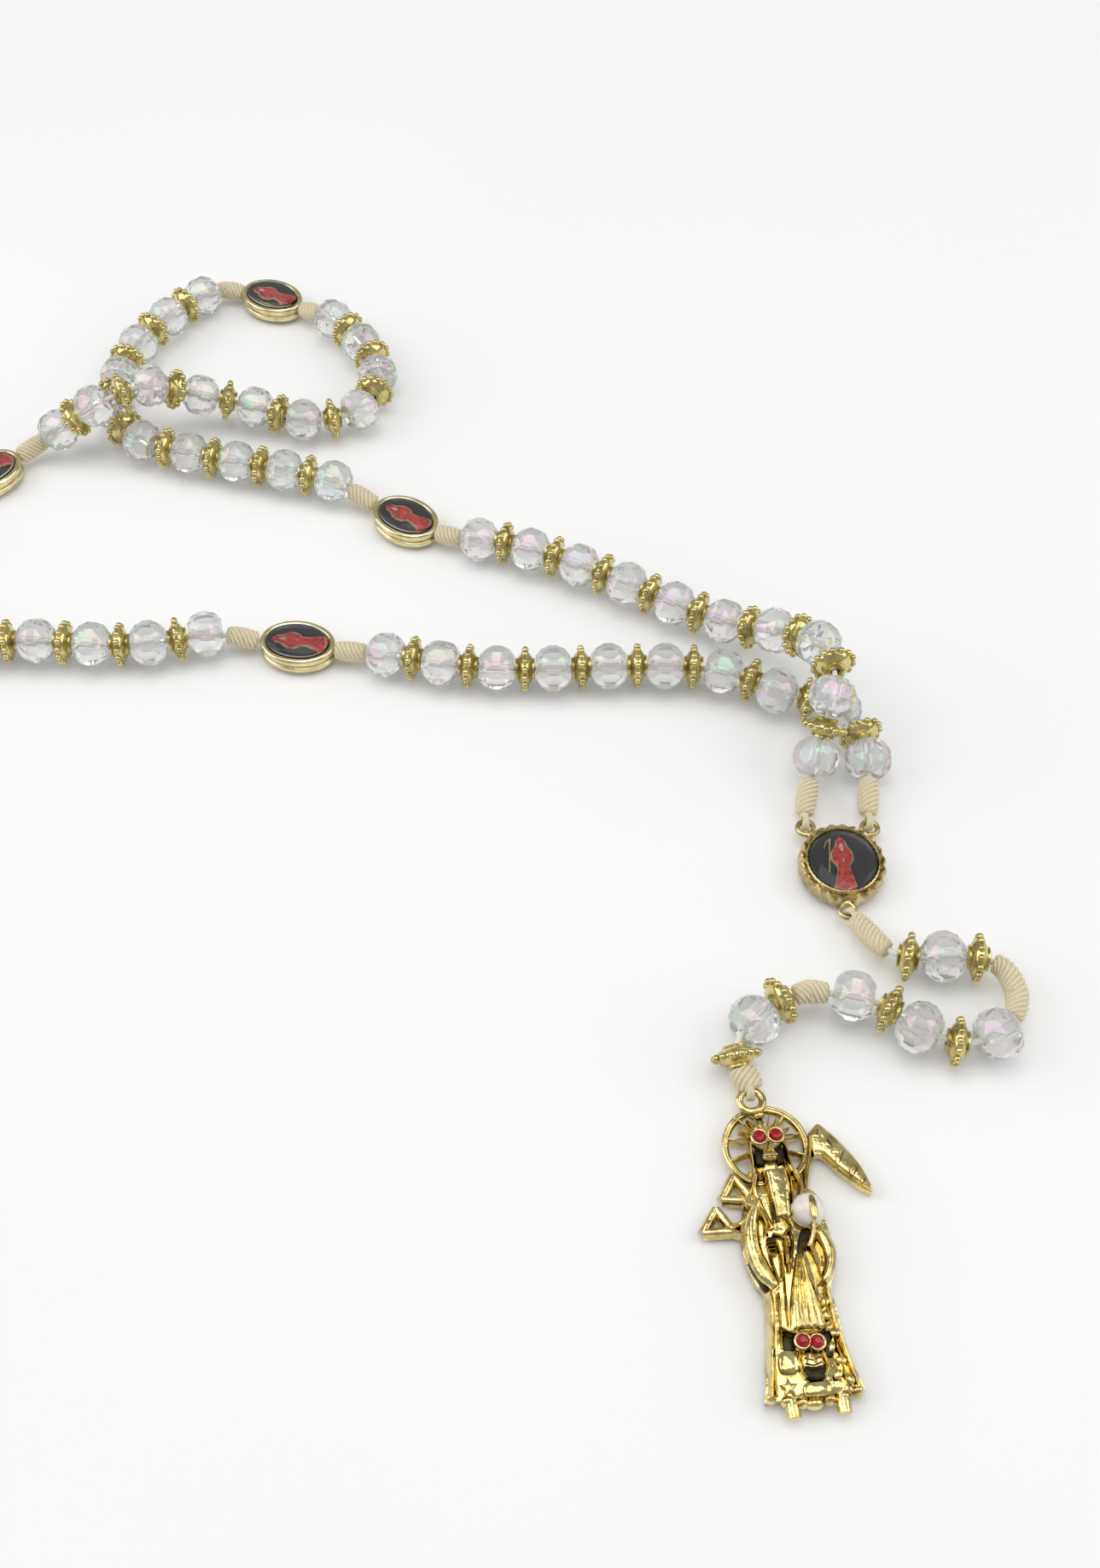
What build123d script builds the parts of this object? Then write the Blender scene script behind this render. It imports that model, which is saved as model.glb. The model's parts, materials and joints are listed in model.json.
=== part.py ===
from build123d import *
import math
import os

# A five-decade rosary lying on a table, z = 0 at the table and +Z up.
# The origin is the middle of the centre medal's back face, +Y runs up the
# loop and the pendant lies towards -Y.  All sizes are in millimetres.

# ---------------------------------------------------------------- driving sizes
CRYSTAL_R = 4.0          # faceted rondelle, over its corners
CRYSTAL_LENGTH = 6.0     # along the cord
CRYSTAL_SIDES = 12
CRYSTAL_BEVEL = 1.9
CRYSTAL_BORE_R = 1.0

SPACER_LENGTH = 3.4
SPACER_BODY_R = 2.95
SPACER_END_R = 1.9
SPACER_BORE_R = 0.9
GRAIN_R = 0.62           # the little balls round a spacer
GRAIN_COUNT = 12

CORD_R = 0.45            # core cord
WRAP_R = 1.6             # thread wound round the core
WRAP_BORE_R = 0.55
PENDANT_WRAP_R = 1.9
LAY_Z = 1.7              # cord height where it runs through a medal or a ring

BEADS_PER_DECADE = 10
CENTRE_WRAP_LENGTH = 7.6
BEAD_WRAP_LENGTH = 6.3
TAIL_WRAP_1_LENGTH = 10.3
TAIL_WRAP_2_LENGTH = 5.1  # past its pivot
TAIL_WRAP_3_LENGTH = 3.2  # past its pivot
CORD_INSET = 2.2         # from a pivot to where the core cord begins
FACE_GAP = 0.08          # left between two beads in line
TURN_ALLOWANCE = 2.0     # extra spacing per radian that the cord turns
PIVOT_GAP = 0.15         # left where a medal bead can turn or lift
WRAP_GAP = 0.6           # left between a wrap and the bead beside it
TAIL_WRAP_GAP = 0.75     # the same in the tighter bends of the tail
RING_WRAP_INSET = 0.5    # from a medal's ring to the wrap below its cord loop
TAIL_RING_WRAP_INSET = 0.6
TAIL_BEAD_SLACK = 0.25   # extra between the beads of the tail's tight curve
PIVOT_CORD_GAP = 0.3     # from the end of a core cord to the pivot ahead
BAIL_CORD_GAP = 1.2      # the same to the pendant's cord loop
ARC_SHARE = 0.45         # part of the shorter run that a corner's arc takes

MEDAL_LENGTH = 13.5      # oval medal bead, along the cord
MEDAL_WIDTH = 10.0
MEDAL_THICK = 3.0
MEDAL_BORE_R = 0.75
MEDAL_EDGE_R = 0.45
MEDAL_RECESS = 0.45
RIM = 1.1                # metal left round a picture
PICTURE_GAP = 0.1        # left between a picture and its rim

CENTRE_WIDTH = 12.6      # centre medal, before its scallops
CENTRE_HEIGHT = 13.4
CENTRE_THICK = 3.2
CENTRE_RECESS = 1.4
CENTRE_CROWN_STEP = 0.2   # the rim stands this much below the full thickness
SCALLOP_R = 1.0
SCALLOP_INSET = 0.45
SCALLOP_COUNT = 22
DOME_RISE = 1.0
DOME_SECTIONS = ((1.0, 0.0), (0.86, 0.55), (0.45, 1.0))    # share of its width, share of its rise
CENTRE_DOME_LIFT = 0.55  # dome's back above the picture's back
MEDAL_DOME_LIFT = 0.08   # dome's back above the rim
PICTURE_THICK = 0.3
FIGURE_THICK = 0.18
FIGURE_WIDTH_SHARE = 0.75    # shares of half the picture's height
FIGURE_HEAD_SHARE = 0.52
FIGURE_HEAD_R_SHARE = 0.16
FIGURE_SLOPE = 76        # degrees of the robe's sides
PICTURE_SINK = 0.43      # medal bead's picture back below its rim

RING_R = 1.3             # eyes of the centre medal, to the middle of the wire
RING_WIRE = 0.9
NECK_R = 0.8             # joins an eye to the frame
NECK_SHARE = 0.815
LOOP_R = 1.2             # cord loop that holds a ring
LOOP_CORD_R = 0.42
TOP_RING_X = 5.2
TOP_RING_Y = 7.2
LOW_RING_Y = -8.7
EYES = [(-TOP_RING_X, TOP_RING_Y), (TOP_RING_X, TOP_RING_Y), (0, LOW_RING_Y)]

JOINT_BALL_R = 1.68      # hollow that a wrap's round end turns in
JOINT_SETBACK = 1.0

PENDANT_X = -17.5        # middle of the pendant's bail
PENDANT_Y = -41.8
PENDANT_LEAN = 5.2       # degrees from straight down
BAIL_R = 1.7
BAIL_WIRE_R = 0.6
BAIL_Z = 2.0
BAIL_LOOP_R = 1.25
BAIL_LOOP_CORD_R = 0.45
BODY_THICK = 2.6
HALO_R = 6.1
HALO_CENTRE = (1.1, -6.9)
HALO_THICK = 1.4
HALO_RIM = 0.9
SPOKE_COUNT = 10
SPOKE_WIDTH = 0.6
SEAT_GAP = 0.05          # left round the pearl and the stones
RELIEF_THICK = 1.2
BLADE_THICK = 1.8
FOOT_R = 1.1
PEARL_R = 2.3
STONE_R = 0.75
PEARL_SPOT = (5.0, -17.8, 3.2)
STONE_SPOTS = {
    "skull": [(0.2, -6.5, 3.8), (2.2, -6.5, 3.8)],
    "owl": [(0.9, -36.4, 3.8), (2.8, -36.7, 3.8)],
}

# ------------------------------------------------------------- the cord's route
# Each list runs along one stretch of the cord, from its held end outwards.
ROUTES = {
    "1": [(-5.2, 9.3, 1.7), (-4.6, 13.6, 2.5), (-2.6, 19.4, 5.4), (-0.9, 24.6, 10.6), (0.6, 29.8, 13.2),
          (-0.2, 36.2, 13.1), (-4.8, 42.6, 9.6), (-13.6, 48.4, 4.8), (-24.6, 54.4, 4.0), (-41.2, 64.2, 4.0),
          (-56.5, 70.4, 4.0), (-66.6, 73.0, 1.7), (-79.4, 81.6, 1.7)],
    "2": [(-79.6, 81.8, 1.7), (-86.6, 85.8, 3.9), (-98.1, 89.1, 4.0), (-113.4, 92.8, 4.0), (-125.2, 96.4, 4.0),
          (-131.8, 103.4, 4.0), (-132.8, 114.8, 4.0), (-130.2, 126.2, 4.0), (-124.4, 135.6, 4.0),
          (-118.6, 143.0, 3.0), (-113.2, 147.0, 1.7), (-98.6, 139.7, 1.7)],
    "3": [(-98.4, 139.6, 1.7), (-93.0, 135.6, 3.8), (-86.0, 128.0, 4.0), (-80.4, 117.8, 4.0), (-82.4, 105.6, 4.0),
          (-93.4, 101.8, 4.0), (-106.2, 107.4, 4.2), (-116.0, 106.8, 7.2), (-123.2, 103.2, 13.0),
          (-130.6, 98.8, 13.0), (-137.6, 98.6, 8.4), (-144.0, 98.4, 3.4), (-149.0, 95.2, 1.7),
          (-158.9, 85.4, 1.7), (-163.1, 80.6, 2.2)],
    "5": [(5.2, 9.3, 1.7), (5.6, 13.8, 2.8), (6.2, 20.6, 4.0), (5.0, 27.0, 4.0), (0.4, 31.8, 4.0),
          (-6.0, 33.2, 4.0), (-11.8, 36.8, 4.0), (-19.0, 39.6, 4.0), (-32.0, 40.2, 4.0), (-47.0, 39.3, 4.0),
          (-60.0, 39.5, 4.0), (-73.0, 42.4, 4.0), (-83.4, 45.4, 1.7), (-98.0, 47.7, 1.7)],
    "4": [(-98.2, 47.7, 1.7), (-105.2, 48.2, 3.9), (-115.2, 45.2, 4.0), (-126.4, 44.7, 4.0), (-138.0, 46.2, 4.0),
          (-151.0, 44.6, 4.0), (-163.4, 47.4, 4.0), (-171.8, 55.6, 4.0), (-173.8, 66.2, 4.0),
          (-170.4, 75.4, 4.0), (-163.5, 80.0, 4.0)],
    "a": [(0.8, -9.7, 1.7), (2.8, -13.6, 2.4), (5.0, -17.4, 3.6), (9.4, -18.9, 4.0), (14.6, -18.3, 4.0),
          (20.2, -18.9, 4.0), (23.2, -21.4, 4.0), (23.6, -25.2, 4.0)],
    "b": [(23.6, -25.2, 4.0), (23.2, -28.4, 4.0), (20.2, -31.8, 4.0), (14.6, -33.8, 4.0), (8.8, -31.4, 4.0),
          (4.2, -27.4, 4.0), (-0.9, -25.3, 4.0), (-7.6, -24.6, 4.0)],
    "c": [(-7.6, -24.6, 4.0), (-11.0, -25.4, 4.0), (-15.2, -28.2, 4.0), (-19.6, -33.2, 3.8),
          (-19.0, -36.6, 2.5), (-17.6, -38.9, 2.0)],
}


def corner_radii(points):
    """Radius of the arc at each corner: a share of the shorter run over the tangent of half the turn."""
    radii = []
    for before, corner, after in zip(points, points[1:], points[2:]):
        run_in = Vector(*corner) - Vector(*before)
        run_out = Vector(*after) - Vector(*corner)
        half_turn = math.radians(run_in.get_angle(run_out)) / 2
        radii.append(ARC_SHARE * min(run_in.length, run_out.length) / math.tan(half_turn))
    return radii


def smooth_route(name):
    """One wire of straight runs and tangent arcs along a route."""
    points = ROUTES[name]
    radii = corner_radii(points)
    with BuildLine() as route:
        FilletPolyline(*points, radius=radii)
    wire = route.wire()
    if (wire @ 0 - Vector(*points[0])).length > 0.01:
        raise ValueError(f"route {name} is turned round")
    print(f"route {name}: {wire.length:.1f} mm, radii", " ".join(f"{radius:.1f}" for radius in radii))
    return wire


def station(path, distance):
    """Plane across the cord at a distance along it."""
    share = distance / path.length
    return Plane(origin=path @ share, z_dir=path % share)


def string_beads(path, start, lengths, slack=0.0):
    """Distances of bead middles along the path, opened where the cord turns."""
    middles = []
    place = start + lengths[0] / 2
    middles.append(place)
    for before, after in zip(lengths, lengths[1:]):
        touching = (before + after) / 2 + FACE_GAP + slack
        step = touching
        for _ in range(4):
            next_heading = path % ((place + step) / path.length)
            turn = math.radians((path % (place / path.length)).get_angle(next_heading))
            step = touching + TURN_ALLOWANCE * turn
        place += step
        middles.append(place)
    return middles


def tube(path, start, end, outer_r, bore_r=0.0):
    """A round tube or rod along one stretch of a path."""
    stretch = path.trim(start / path.length, end / path.length)
    with BuildPart() as swept:
        with BuildSketch(Plane(origin=stretch @ 0, z_dir=stretch % 0)):
            Circle(outer_r)
            if bore_r:
                Circle(bore_r, mode=Mode.SUBTRACT)
        sweep(path=stretch)
    section = math.pi * (outer_r**2 - bore_r**2)
    share = swept.part.volume / (section * stretch.length)
    if abs(share - 1) > 0.01:
        print(f"  tube volume is {share:.3f} of its section times its length")
    return swept.part


def finish(part, name):
    """Label a sub-part and write it."""
    part.label = name
    export_step(part, f"parts/{name}.step")


def write_group(name, shapes):
    """Write several separate solids as one named node."""
    with BuildPart() as group:
        for shape in shapes:
            add(shape)
    finish(group.part, name)


def write_copies(name, shape, planes):
    """Write copies of one bead, each threaded on the cord at a plane."""
    with BuildPart() as copies:
        with Locations(*planes):
            add(shape)
    finish(copies.part, name)


# ------------------------------------------------------------------- bead shapes
def make_crystal():
    """A twelve-sided rondelle with bevelled ends and a bore."""
    with BuildPart() as crystal:
        with BuildSketch():
            RegularPolygon(CRYSTAL_R, CRYSTAL_SIDES)
        extrude(amount=CRYSTAL_LENGTH / 2, both=True)
        ends = crystal.faces().filter_by(Axis.Z).edges()
        chamfer(ends, length=CRYSTAL_BEVEL)
        Hole(CRYSTAL_BORE_R)
    return crystal.part


def make_spacer():
    """A bicone with a ring of small balls round its middle and a bore."""
    half = SPACER_LENGTH / 2
    with BuildPart() as spacer:
        with BuildSketch(Plane.XZ):
            with BuildLine():
                Polyline((0, -half), (SPACER_END_R, -half), (SPACER_BODY_R, 0), (SPACER_END_R, half), (0, half))
                Line((0, half), (0, -half))
            make_face()
        revolve(axis=Axis.Z)
        with PolarLocations(SPACER_BODY_R, GRAIN_COUNT):
            Sphere(GRAIN_R)
        Hole(SPACER_BORE_R)
    return spacer.part


# ------------------------------------------------------------- framed medal parts
def make_dome(width, height, base_z, rise):
    """A clear oval lens with a flat back."""
    with BuildPart() as dome:
        for share, lift in DOME_SECTIONS:
            with BuildSketch(Plane.XY.offset(base_z + lift * rise)):
                Ellipse(width / 2 * share, height / 2 * share)
        loft()
    return dome.part


def make_picture(width, height, base_z, upright):
    """A thin oval plate with a raised robed figure of a plain, general design."""
    reach = (height if upright else width) / 2
    turn = 0 if upright else 90
    with BuildPart() as picture:
        with BuildSketch(Plane.XY.offset(base_z)):
            Ellipse(width / 2, height / 2)
        extrude(amount=PICTURE_THICK)
        with BuildSketch(Plane.XY.offset(base_z + PICTURE_THICK)):
            with Locations(Rotation(0, 0, turn)):
                Trapezoid(reach * FIGURE_WIDTH_SHARE, reach, FIGURE_SLOPE)
        extrude(amount=FIGURE_THICK)
        head = reach * FIGURE_HEAD_SHARE
        head_spot = (0, head) if upright else (-head, 0)
        with BuildSketch(Plane.XY.offset(base_z + PICTURE_THICK)):
            with Locations(head_spot):
                Circle(reach * FIGURE_HEAD_R_SHARE)
        extrude(amount=FIGURE_THICK)
    return picture.part


def make_medal_frame():
    """An oval bead, bored along its length, with a groove round its side and a recess for the picture."""
    with BuildPart() as frame:
        with BuildSketch():
            Ellipse(MEDAL_LENGTH / 2, MEDAL_WIDTH / 2)
        extrude(amount=MEDAL_THICK)
        fillet(frame.edges().filter_by(Plane.XY), radius=MEDAL_EDGE_R)
        with BuildSketch(Plane.XY.offset(MEDAL_THICK - MEDAL_RECESS)):
            Ellipse(MEDAL_LENGTH / 2 - RIM, MEDAL_WIDTH / 2 - RIM)
        extrude(amount=MEDAL_RECESS, mode=Mode.SUBTRACT)
        with BuildSketch(Plane.YZ):
            with Locations((0, LAY_Z)):
                Circle(MEDAL_BORE_R)
        extrude(amount=MEDAL_LENGTH, both=True, mode=Mode.SUBTRACT)
    return frame.part


def make_centre_frame():
    """The centre medal's scalloped frame with its three eyes."""
    with BuildPart() as frame:
        with BuildSketch():
            Ellipse(CENTRE_WIDTH / 2, CENTRE_HEIGHT / 2)
            for index in range(SCALLOP_COUNT):
                angle = 2 * math.pi * index / SCALLOP_COUNT
                spot_x = (CENTRE_WIDTH / 2 - SCALLOP_INSET) * math.cos(angle)
                spot_y = (CENTRE_HEIGHT / 2 - SCALLOP_INSET) * math.sin(angle)
                with Locations((spot_x, spot_y)):
                    Circle(SCALLOP_R)
        extrude(amount=CENTRE_THICK - CENTRE_CROWN_STEP)
        with BuildSketch(Plane.XY.offset(CENTRE_THICK)):
            Ellipse(CENTRE_WIDTH / 2 - RIM, CENTRE_HEIGHT / 2 - RIM)
        extrude(amount=-CENTRE_RECESS, mode=Mode.SUBTRACT)
        with BuildSketch(Plane.XY.offset(LAY_Z - RING_WIRE / 2)):
            with Locations(*EYES):
                Circle(RING_R + RING_WIRE / 2)
            with Locations(*[(x * NECK_SHARE, y * NECK_SHARE) for x, y in EYES]):
                Circle(NECK_R)
            with Locations(*EYES):
                Circle(RING_R - RING_WIRE / 2, mode=Mode.SUBTRACT)
        extrude(amount=RING_WIRE)
    return frame.part


# ---------------------------------------------------------------- loop of the cord
def make_loop(spot, heading, ring_r, cord_r):
    """A small cord loop round a ring's wire, in the upright plane of its heading."""
    with BuildPart() as loop:
        with Locations(Plane(origin=spot, x_dir=heading, z_dir=Vector(heading).cross(Vector(0, 0, 1)))):
            Torus(ring_r, cord_r)
    return loop.part


def make_ring_wrap(path, start, end, loop, outer_r):
    """A wrap joined to the cord loop that holds a ring."""
    with BuildPart() as wrap:
        add(tube(path, start, end, outer_r, WRAP_BORE_R))
        add(loop)
    return wrap.part


def make_ball_end(path, start, end, pivot):
    """The half of a jointed wrap that ends in a ball at the pivot."""
    with BuildPart() as wrap:
        add(tube(path, start, end, WRAP_R, WRAP_BORE_R))
        with Locations(pivot):
            Sphere(WRAP_R)
        with Locations(Plane(origin=pivot, z_dir=path % (end / path.length))):
            Cylinder(WRAP_BORE_R, 2 * WRAP_R + 1, mode=Mode.SUBTRACT)
    return wrap.part


def make_socket_end(path, start, end, pivot):
    """The other half, hollowed to turn round the ball."""
    with BuildPart() as wrap:
        add(tube(path, start, end, WRAP_R, WRAP_BORE_R))
        with Locations(pivot):
            Sphere(JOINT_BALL_R, mode=Mode.SUBTRACT)
    return wrap.part


# -------------------------------------------------------------------- the pendant
def make_pendant():
    """A cast robed figure with a pierced halo, a blade, scales, and a bail."""
    with BuildPart() as body:
        with BuildSketch():
            with BuildLine():
                Spline((-3.0, -13.7), (-4.7, -19.5), (-3.8, -26.5), (-2.6, -29.7))
                Polyline((-2.6, -29.7), (-4.0, -38.0), (-5.2, -43.3))
                Spline((-5.2, -43.3), (1.2, -44.3), (8.4, -42.6))
                Polyline((8.4, -42.6), (6.9, -37.3), (6.3, -28.7))
                Spline((6.3, -28.7), (7.9, -25.1), (7.2, -17.9), (5.2, -13.7))
                Line((5.2, -13.7), (-3.0, -13.7))
            make_face()
        extrude(amount=BODY_THICK)
        with BuildSketch():
            with Locations(HALO_CENTRE):
                Circle(HALO_R)
                Circle(HALO_R - HALO_RIM, mode=Mode.SUBTRACT)
                with PolarLocations(HALO_R / 2 + 0.4, SPOKE_COUNT):
                    Rectangle(HALO_R - 1.2, SPOKE_WIDTH)
        extrude(amount=HALO_THICK)
        with BuildSketch():
            with Locations((1.1, -6.4)):
                Ellipse(2.5, 3.3)
            with Locations((1.1, -11.6)):
                Rectangle(3.6, 5.2)
        extrude(amount=BODY_THICK)
        with BuildSketch(Plane.XY.offset(BODY_THICK)):
            with Locations((1.1, -6.0)):
                Ellipse(2.1, 2.0)
            with Locations((2.0, -29.6)):
                Trapezoid(5.2, 9.0, 78)
            with Locations((1.8, -38.7)):
                Ellipse(1.9, 3.2)
        extrude(amount=RELIEF_THICK)
        with BuildSketch():
            with BuildLine():
                Polyline((5.2, -15.5), (6.6, -8.7), (8.8, -4.3), (12.2, -8.0), (15.0, -14.5),
                         (14.3, -15.2), (10.5, -11.7), (7.8, -8.7), (6.8, -15.5), (5.2, -15.5))
            make_face()
        extrude(amount=BLADE_THICK)
        with BuildSketch():
            Polygon((-4.4, -11.3), (-6.2, -14.0), (-1.4, -14.8), align=None)
            Polygon((-7.5, -15.8), (-9.9, -18.7), (-3.9, -19.9), align=None)
        extrude(amount=HALO_THICK)
        with BuildSketch():
            with Locations((-1.6, -44.5), (5.2, -44.3)):
                Circle(FOOT_R)
        extrude(amount=BODY_THICK)
        with Locations((0, 0, BAIL_Z)):
            Torus(BAIL_R, BAIL_WIRE_R)
        with BuildSketch(Plane.XY.offset(0.4)):
            with Locations((0.8, -2.0)):
                Rectangle(2.2, 1.2)
        extrude(amount=BAIL_Z)
        with Locations(PEARL_SPOT):
            Sphere(PEARL_R + SEAT_GAP, mode=Mode.SUBTRACT)
        with Locations(*STONE_SPOTS["skull"], *STONE_SPOTS["owl"]):
            Sphere(STONE_R + SEAT_GAP, mode=Mode.SUBTRACT)
    return body.part


def main():
    """Build and write every sub-part."""
    os.makedirs("parts", exist_ok=True)
    crystal = make_crystal()
    spacer = make_spacer()
    paths = {name: smooth_route(name) for name in ROUTES}

    # --- centre medal
    finish(make_centre_frame(), "centre_medal_frame")
    inner_width = CENTRE_WIDTH - 2 * (RIM + PICTURE_GAP)
    inner_height = CENTRE_HEIGHT - 2 * (RIM + PICTURE_GAP)
    floor_z = CENTRE_THICK - CENTRE_RECESS
    finish(make_picture(inner_width, inner_height, floor_z, upright=True), "centre_medal_picture")
    dome = make_dome(inner_width, inner_height, floor_z + CENTRE_DOME_LIFT, DOME_RISE)
    finish(dome, "centre_medal_dome")

    # --- decades
    bead_lengths = [CRYSTAL_LENGTH, SPACER_LENGTH] * (BEADS_PER_DECADE - 1) + [CRYSTAL_LENGTH]
    first_wrap = {"1": CENTRE_WRAP_LENGTH, "5": CENTRE_WRAP_LENGTH,
                  "2": BEAD_WRAP_LENGTH, "3": BEAD_WRAP_LENGTH, "4": BEAD_WRAP_LENGTH}
    medal_frame = make_medal_frame()
    medal_inner_length = MEDAL_LENGTH - 2 * (RIM + PICTURE_GAP)
    medal_inner_width = MEDAL_WIDTH - 2 * (RIM + PICTURE_GAP)
    picture_z = MEDAL_THICK - PICTURE_SINK
    medal_picture = make_picture(medal_inner_length, medal_inner_width, picture_z, upright=False)
    dome_z = MEDAL_THICK + MEDAL_DOME_LIFT
    medal_dome = make_dome(medal_inner_length, medal_inner_width, dome_z, DOME_RISE)
    medal_after = {"1": "medal_1", "2": "medal_2", "3": "medal_3", "5": "medal_4"}
    end_wrap = {"3": BEAD_WRAP_LENGTH}

    for number, path in paths.items():
        if number not in first_wrap:
            continue
        wrap_end = first_wrap[number]
        middles = string_beads(path, wrap_end + FACE_GAP, bead_lengths)
        planes = [station(path, middle) for middle in middles]
        write_copies(f"crystals_{number}", crystal, planes[0::2])
        write_copies(f"spacers_{number}", spacer, planes[1::2])
        beads_end = middles[-1] + CRYSTAL_LENGTH / 2
        if number in ("1", "5"):
            side = -1 if number == "1" else 1
            wire_spot = (side * TOP_RING_X, TOP_RING_Y + RING_R, LAY_Z)
            loop = make_loop(wire_spot, (0, 1, 0), LOOP_R, LOOP_CORD_R)
            wraps = [make_ring_wrap(path, RING_WRAP_INSET, wrap_end - WRAP_GAP, loop, WRAP_R)]
            cord_start = CORD_INSET
        else:
            wraps = [tube(path, PIVOT_GAP, wrap_end - WRAP_GAP, WRAP_R, WRAP_BORE_R)]
            cord_start = PIVOT_GAP
        cord_end = path.length
        if number in medal_after:
            after = end_wrap.get(number, 0.0)
            far_mouth = path.length - after
            medal_middle = far_mouth - PIVOT_GAP - MEDAL_LENGTH / 2
            near_mouth = medal_middle - MEDAL_LENGTH / 2
            wraps.append(tube(path, beads_end + WRAP_GAP, near_mouth - PIVOT_GAP, WRAP_R, WRAP_BORE_R))
            print(f"decade {number}: last wrap {near_mouth - PIVOT_GAP - beads_end - WRAP_GAP:.2f} mm")
            if after:
                wraps.append(tube(path, far_mouth, path.length, WRAP_R, WRAP_BORE_R))
            middle = path @ (medal_middle / path.length)
            heading = path % (medal_middle / path.length)
            seat_spot = (middle.X, middle.Y, middle.Z - LAY_Z)
            seat = Plane(origin=seat_spot, x_dir=(heading.X, heading.Y, 0), z_dir=(0, 0, 1))
            medal = medal_after[number]
            write_copies(f"{medal}_frame", medal_frame, [seat])
            write_copies(f"{medal}_picture", medal_picture, [seat])
            write_copies(f"{medal}_dome", medal_dome, [seat])
        else:
            cord_end = beads_end
            print(f"decade {number}: {path.length - beads_end:.2f} mm of route left past the last bead")
        write_group(f"wraps_{number}", wraps)
        finish(tube(path, cord_start, cord_end, CORD_R), f"core_cord_{number}")

    # --- tail, first stretch
    path = paths["a"]
    heading = path % 0
    flat = Vector(heading.X, heading.Y, 0).normalized()
    low_ring = Vector(0, LOW_RING_Y, LAY_Z)
    wire_spot = low_ring + flat * RING_R
    loop = make_loop(wire_spot, (flat.X, flat.Y, 0), LOOP_R, LOOP_CORD_R)
    lengths = [SPACER_LENGTH, CRYSTAL_LENGTH, SPACER_LENGTH]
    middles = string_beads(path, TAIL_WRAP_1_LENGTH, lengths)
    planes = [station(path, middle) for middle in middles]
    write_copies("tail_spacer_1", spacer, planes[0:1])
    write_copies("tail_crystal_1", crystal, planes[1:2])
    write_copies("tail_spacer_2", spacer, planes[2:3])
    wrap_end = TAIL_WRAP_1_LENGTH - 2 * TAIL_WRAP_GAP
    finish(make_ring_wrap(path, TAIL_RING_WRAP_INSET, wrap_end, loop, WRAP_R), "tail_wrap_1")
    bead_end = middles[-1] + SPACER_LENGTH / 2
    pivot_2 = path @ 1
    finish(make_ball_end(path, bead_end + TAIL_WRAP_GAP, path.length, pivot_2), "tail_wrap_2_upper")
    finish(tube(path, CORD_INSET, path.length - PIVOT_CORD_GAP, CORD_R), "tail_core_a")
    print(f"tail a: wrap 2 upper {path.length - bead_end:.2f} mm")

    # --- tail, second stretch
    path = paths["b"]
    lengths = [CRYSTAL_LENGTH, SPACER_LENGTH, CRYSTAL_LENGTH, SPACER_LENGTH, CRYSTAL_LENGTH]
    start = TAIL_WRAP_2_LENGTH
    middles = string_beads(path, start, lengths, slack=TAIL_BEAD_SLACK)
    planes = [station(path, middle) for middle in middles]
    for index, (shape, name) in enumerate(zip(
            (crystal, spacer, crystal, spacer, crystal),
            ("tail_crystal_2", "tail_spacer_3", "tail_crystal_3", "tail_spacer_4", "tail_crystal_4"))):
        write_copies(name, shape, planes[index:index + 1])
    finish(make_socket_end(path, JOINT_SETBACK, start - TAIL_WRAP_GAP, pivot_2), "tail_wrap_2_lower")
    bead_end = middles[-1] + CRYSTAL_LENGTH / 2
    pivot_3 = path @ 1
    finish(make_ball_end(path, bead_end + TAIL_WRAP_GAP, path.length, pivot_3), "tail_wrap_3_upper")
    finish(tube(path, CORD_INSET, path.length - PIVOT_CORD_GAP, CORD_R), "tail_core_b")
    print(f"tail b: wrap 3 upper {path.length - bead_end:.2f} mm")

    # --- tail, third stretch
    path = paths["c"]
    start = TAIL_WRAP_3_LENGTH
    middles = string_beads(path, start, [SPACER_LENGTH, CRYSTAL_LENGTH, SPACER_LENGTH])
    planes = [station(path, middle) for middle in middles]
    write_copies("tail_spacer_5", spacer, planes[0:1])
    write_copies("tail_crystal_5", crystal, planes[1:2])
    write_copies("tail_spacer_6", spacer, planes[2:3])
    finish(make_socket_end(path, JOINT_SETBACK, start - WRAP_GAP, pivot_3), "tail_wrap_3_lower")
    bead_end = middles[-1] + SPACER_LENGTH / 2
    bail_centre = Vector(PENDANT_X, PENDANT_Y, BAIL_Z)
    towards = Vector((path @ 1).X - PENDANT_X, (path @ 1).Y - PENDANT_Y, 0).normalized()
    bail_wire = bail_centre + towards * BAIL_R
    loop = make_loop(bail_wire, (towards.X, towards.Y, 0), BAIL_LOOP_R, BAIL_LOOP_CORD_R)
    finish(make_ring_wrap(path, bead_end + TAIL_WRAP_GAP, path.length, loop, PENDANT_WRAP_R), "tail_wrap_4")
    finish(tube(path, CORD_INSET, path.length - BAIL_CORD_GAP, CORD_R), "tail_core_c")
    print(f"tail c: wrap 4 {path.length - bead_end:.2f} mm")

    # --- pendant
    hang = Plane(origin=(PENDANT_X, PENDANT_Y, 0),
                 x_dir=(math.cos(math.radians(PENDANT_LEAN)), math.sin(math.radians(PENDANT_LEAN)), 0),
                 z_dir=(0, 0, 1))
    write_copies("pendant_body", make_pendant(), [hang])
    with BuildPart() as pearl:
        with Locations(PEARL_SPOT):
            Sphere(PEARL_R)
    write_copies("pendant_pearl", pearl.part, [hang])
    for name, spots in STONE_SPOTS.items():
        with BuildPart() as stones:
            with Locations(*spots):
                Sphere(STONE_R)
        write_copies(f"{name}_stones", stones.part, [hang])


main()
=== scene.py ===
"""Looks of a five-decade rosary: faceted glass, granulated gold spacers, wound thread and cast metal.

Everything is in metres, in the part's own frame: z = 0 is the table, +Y runs up the loop, and the
origin is the back of the centre medal.
"""

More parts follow.
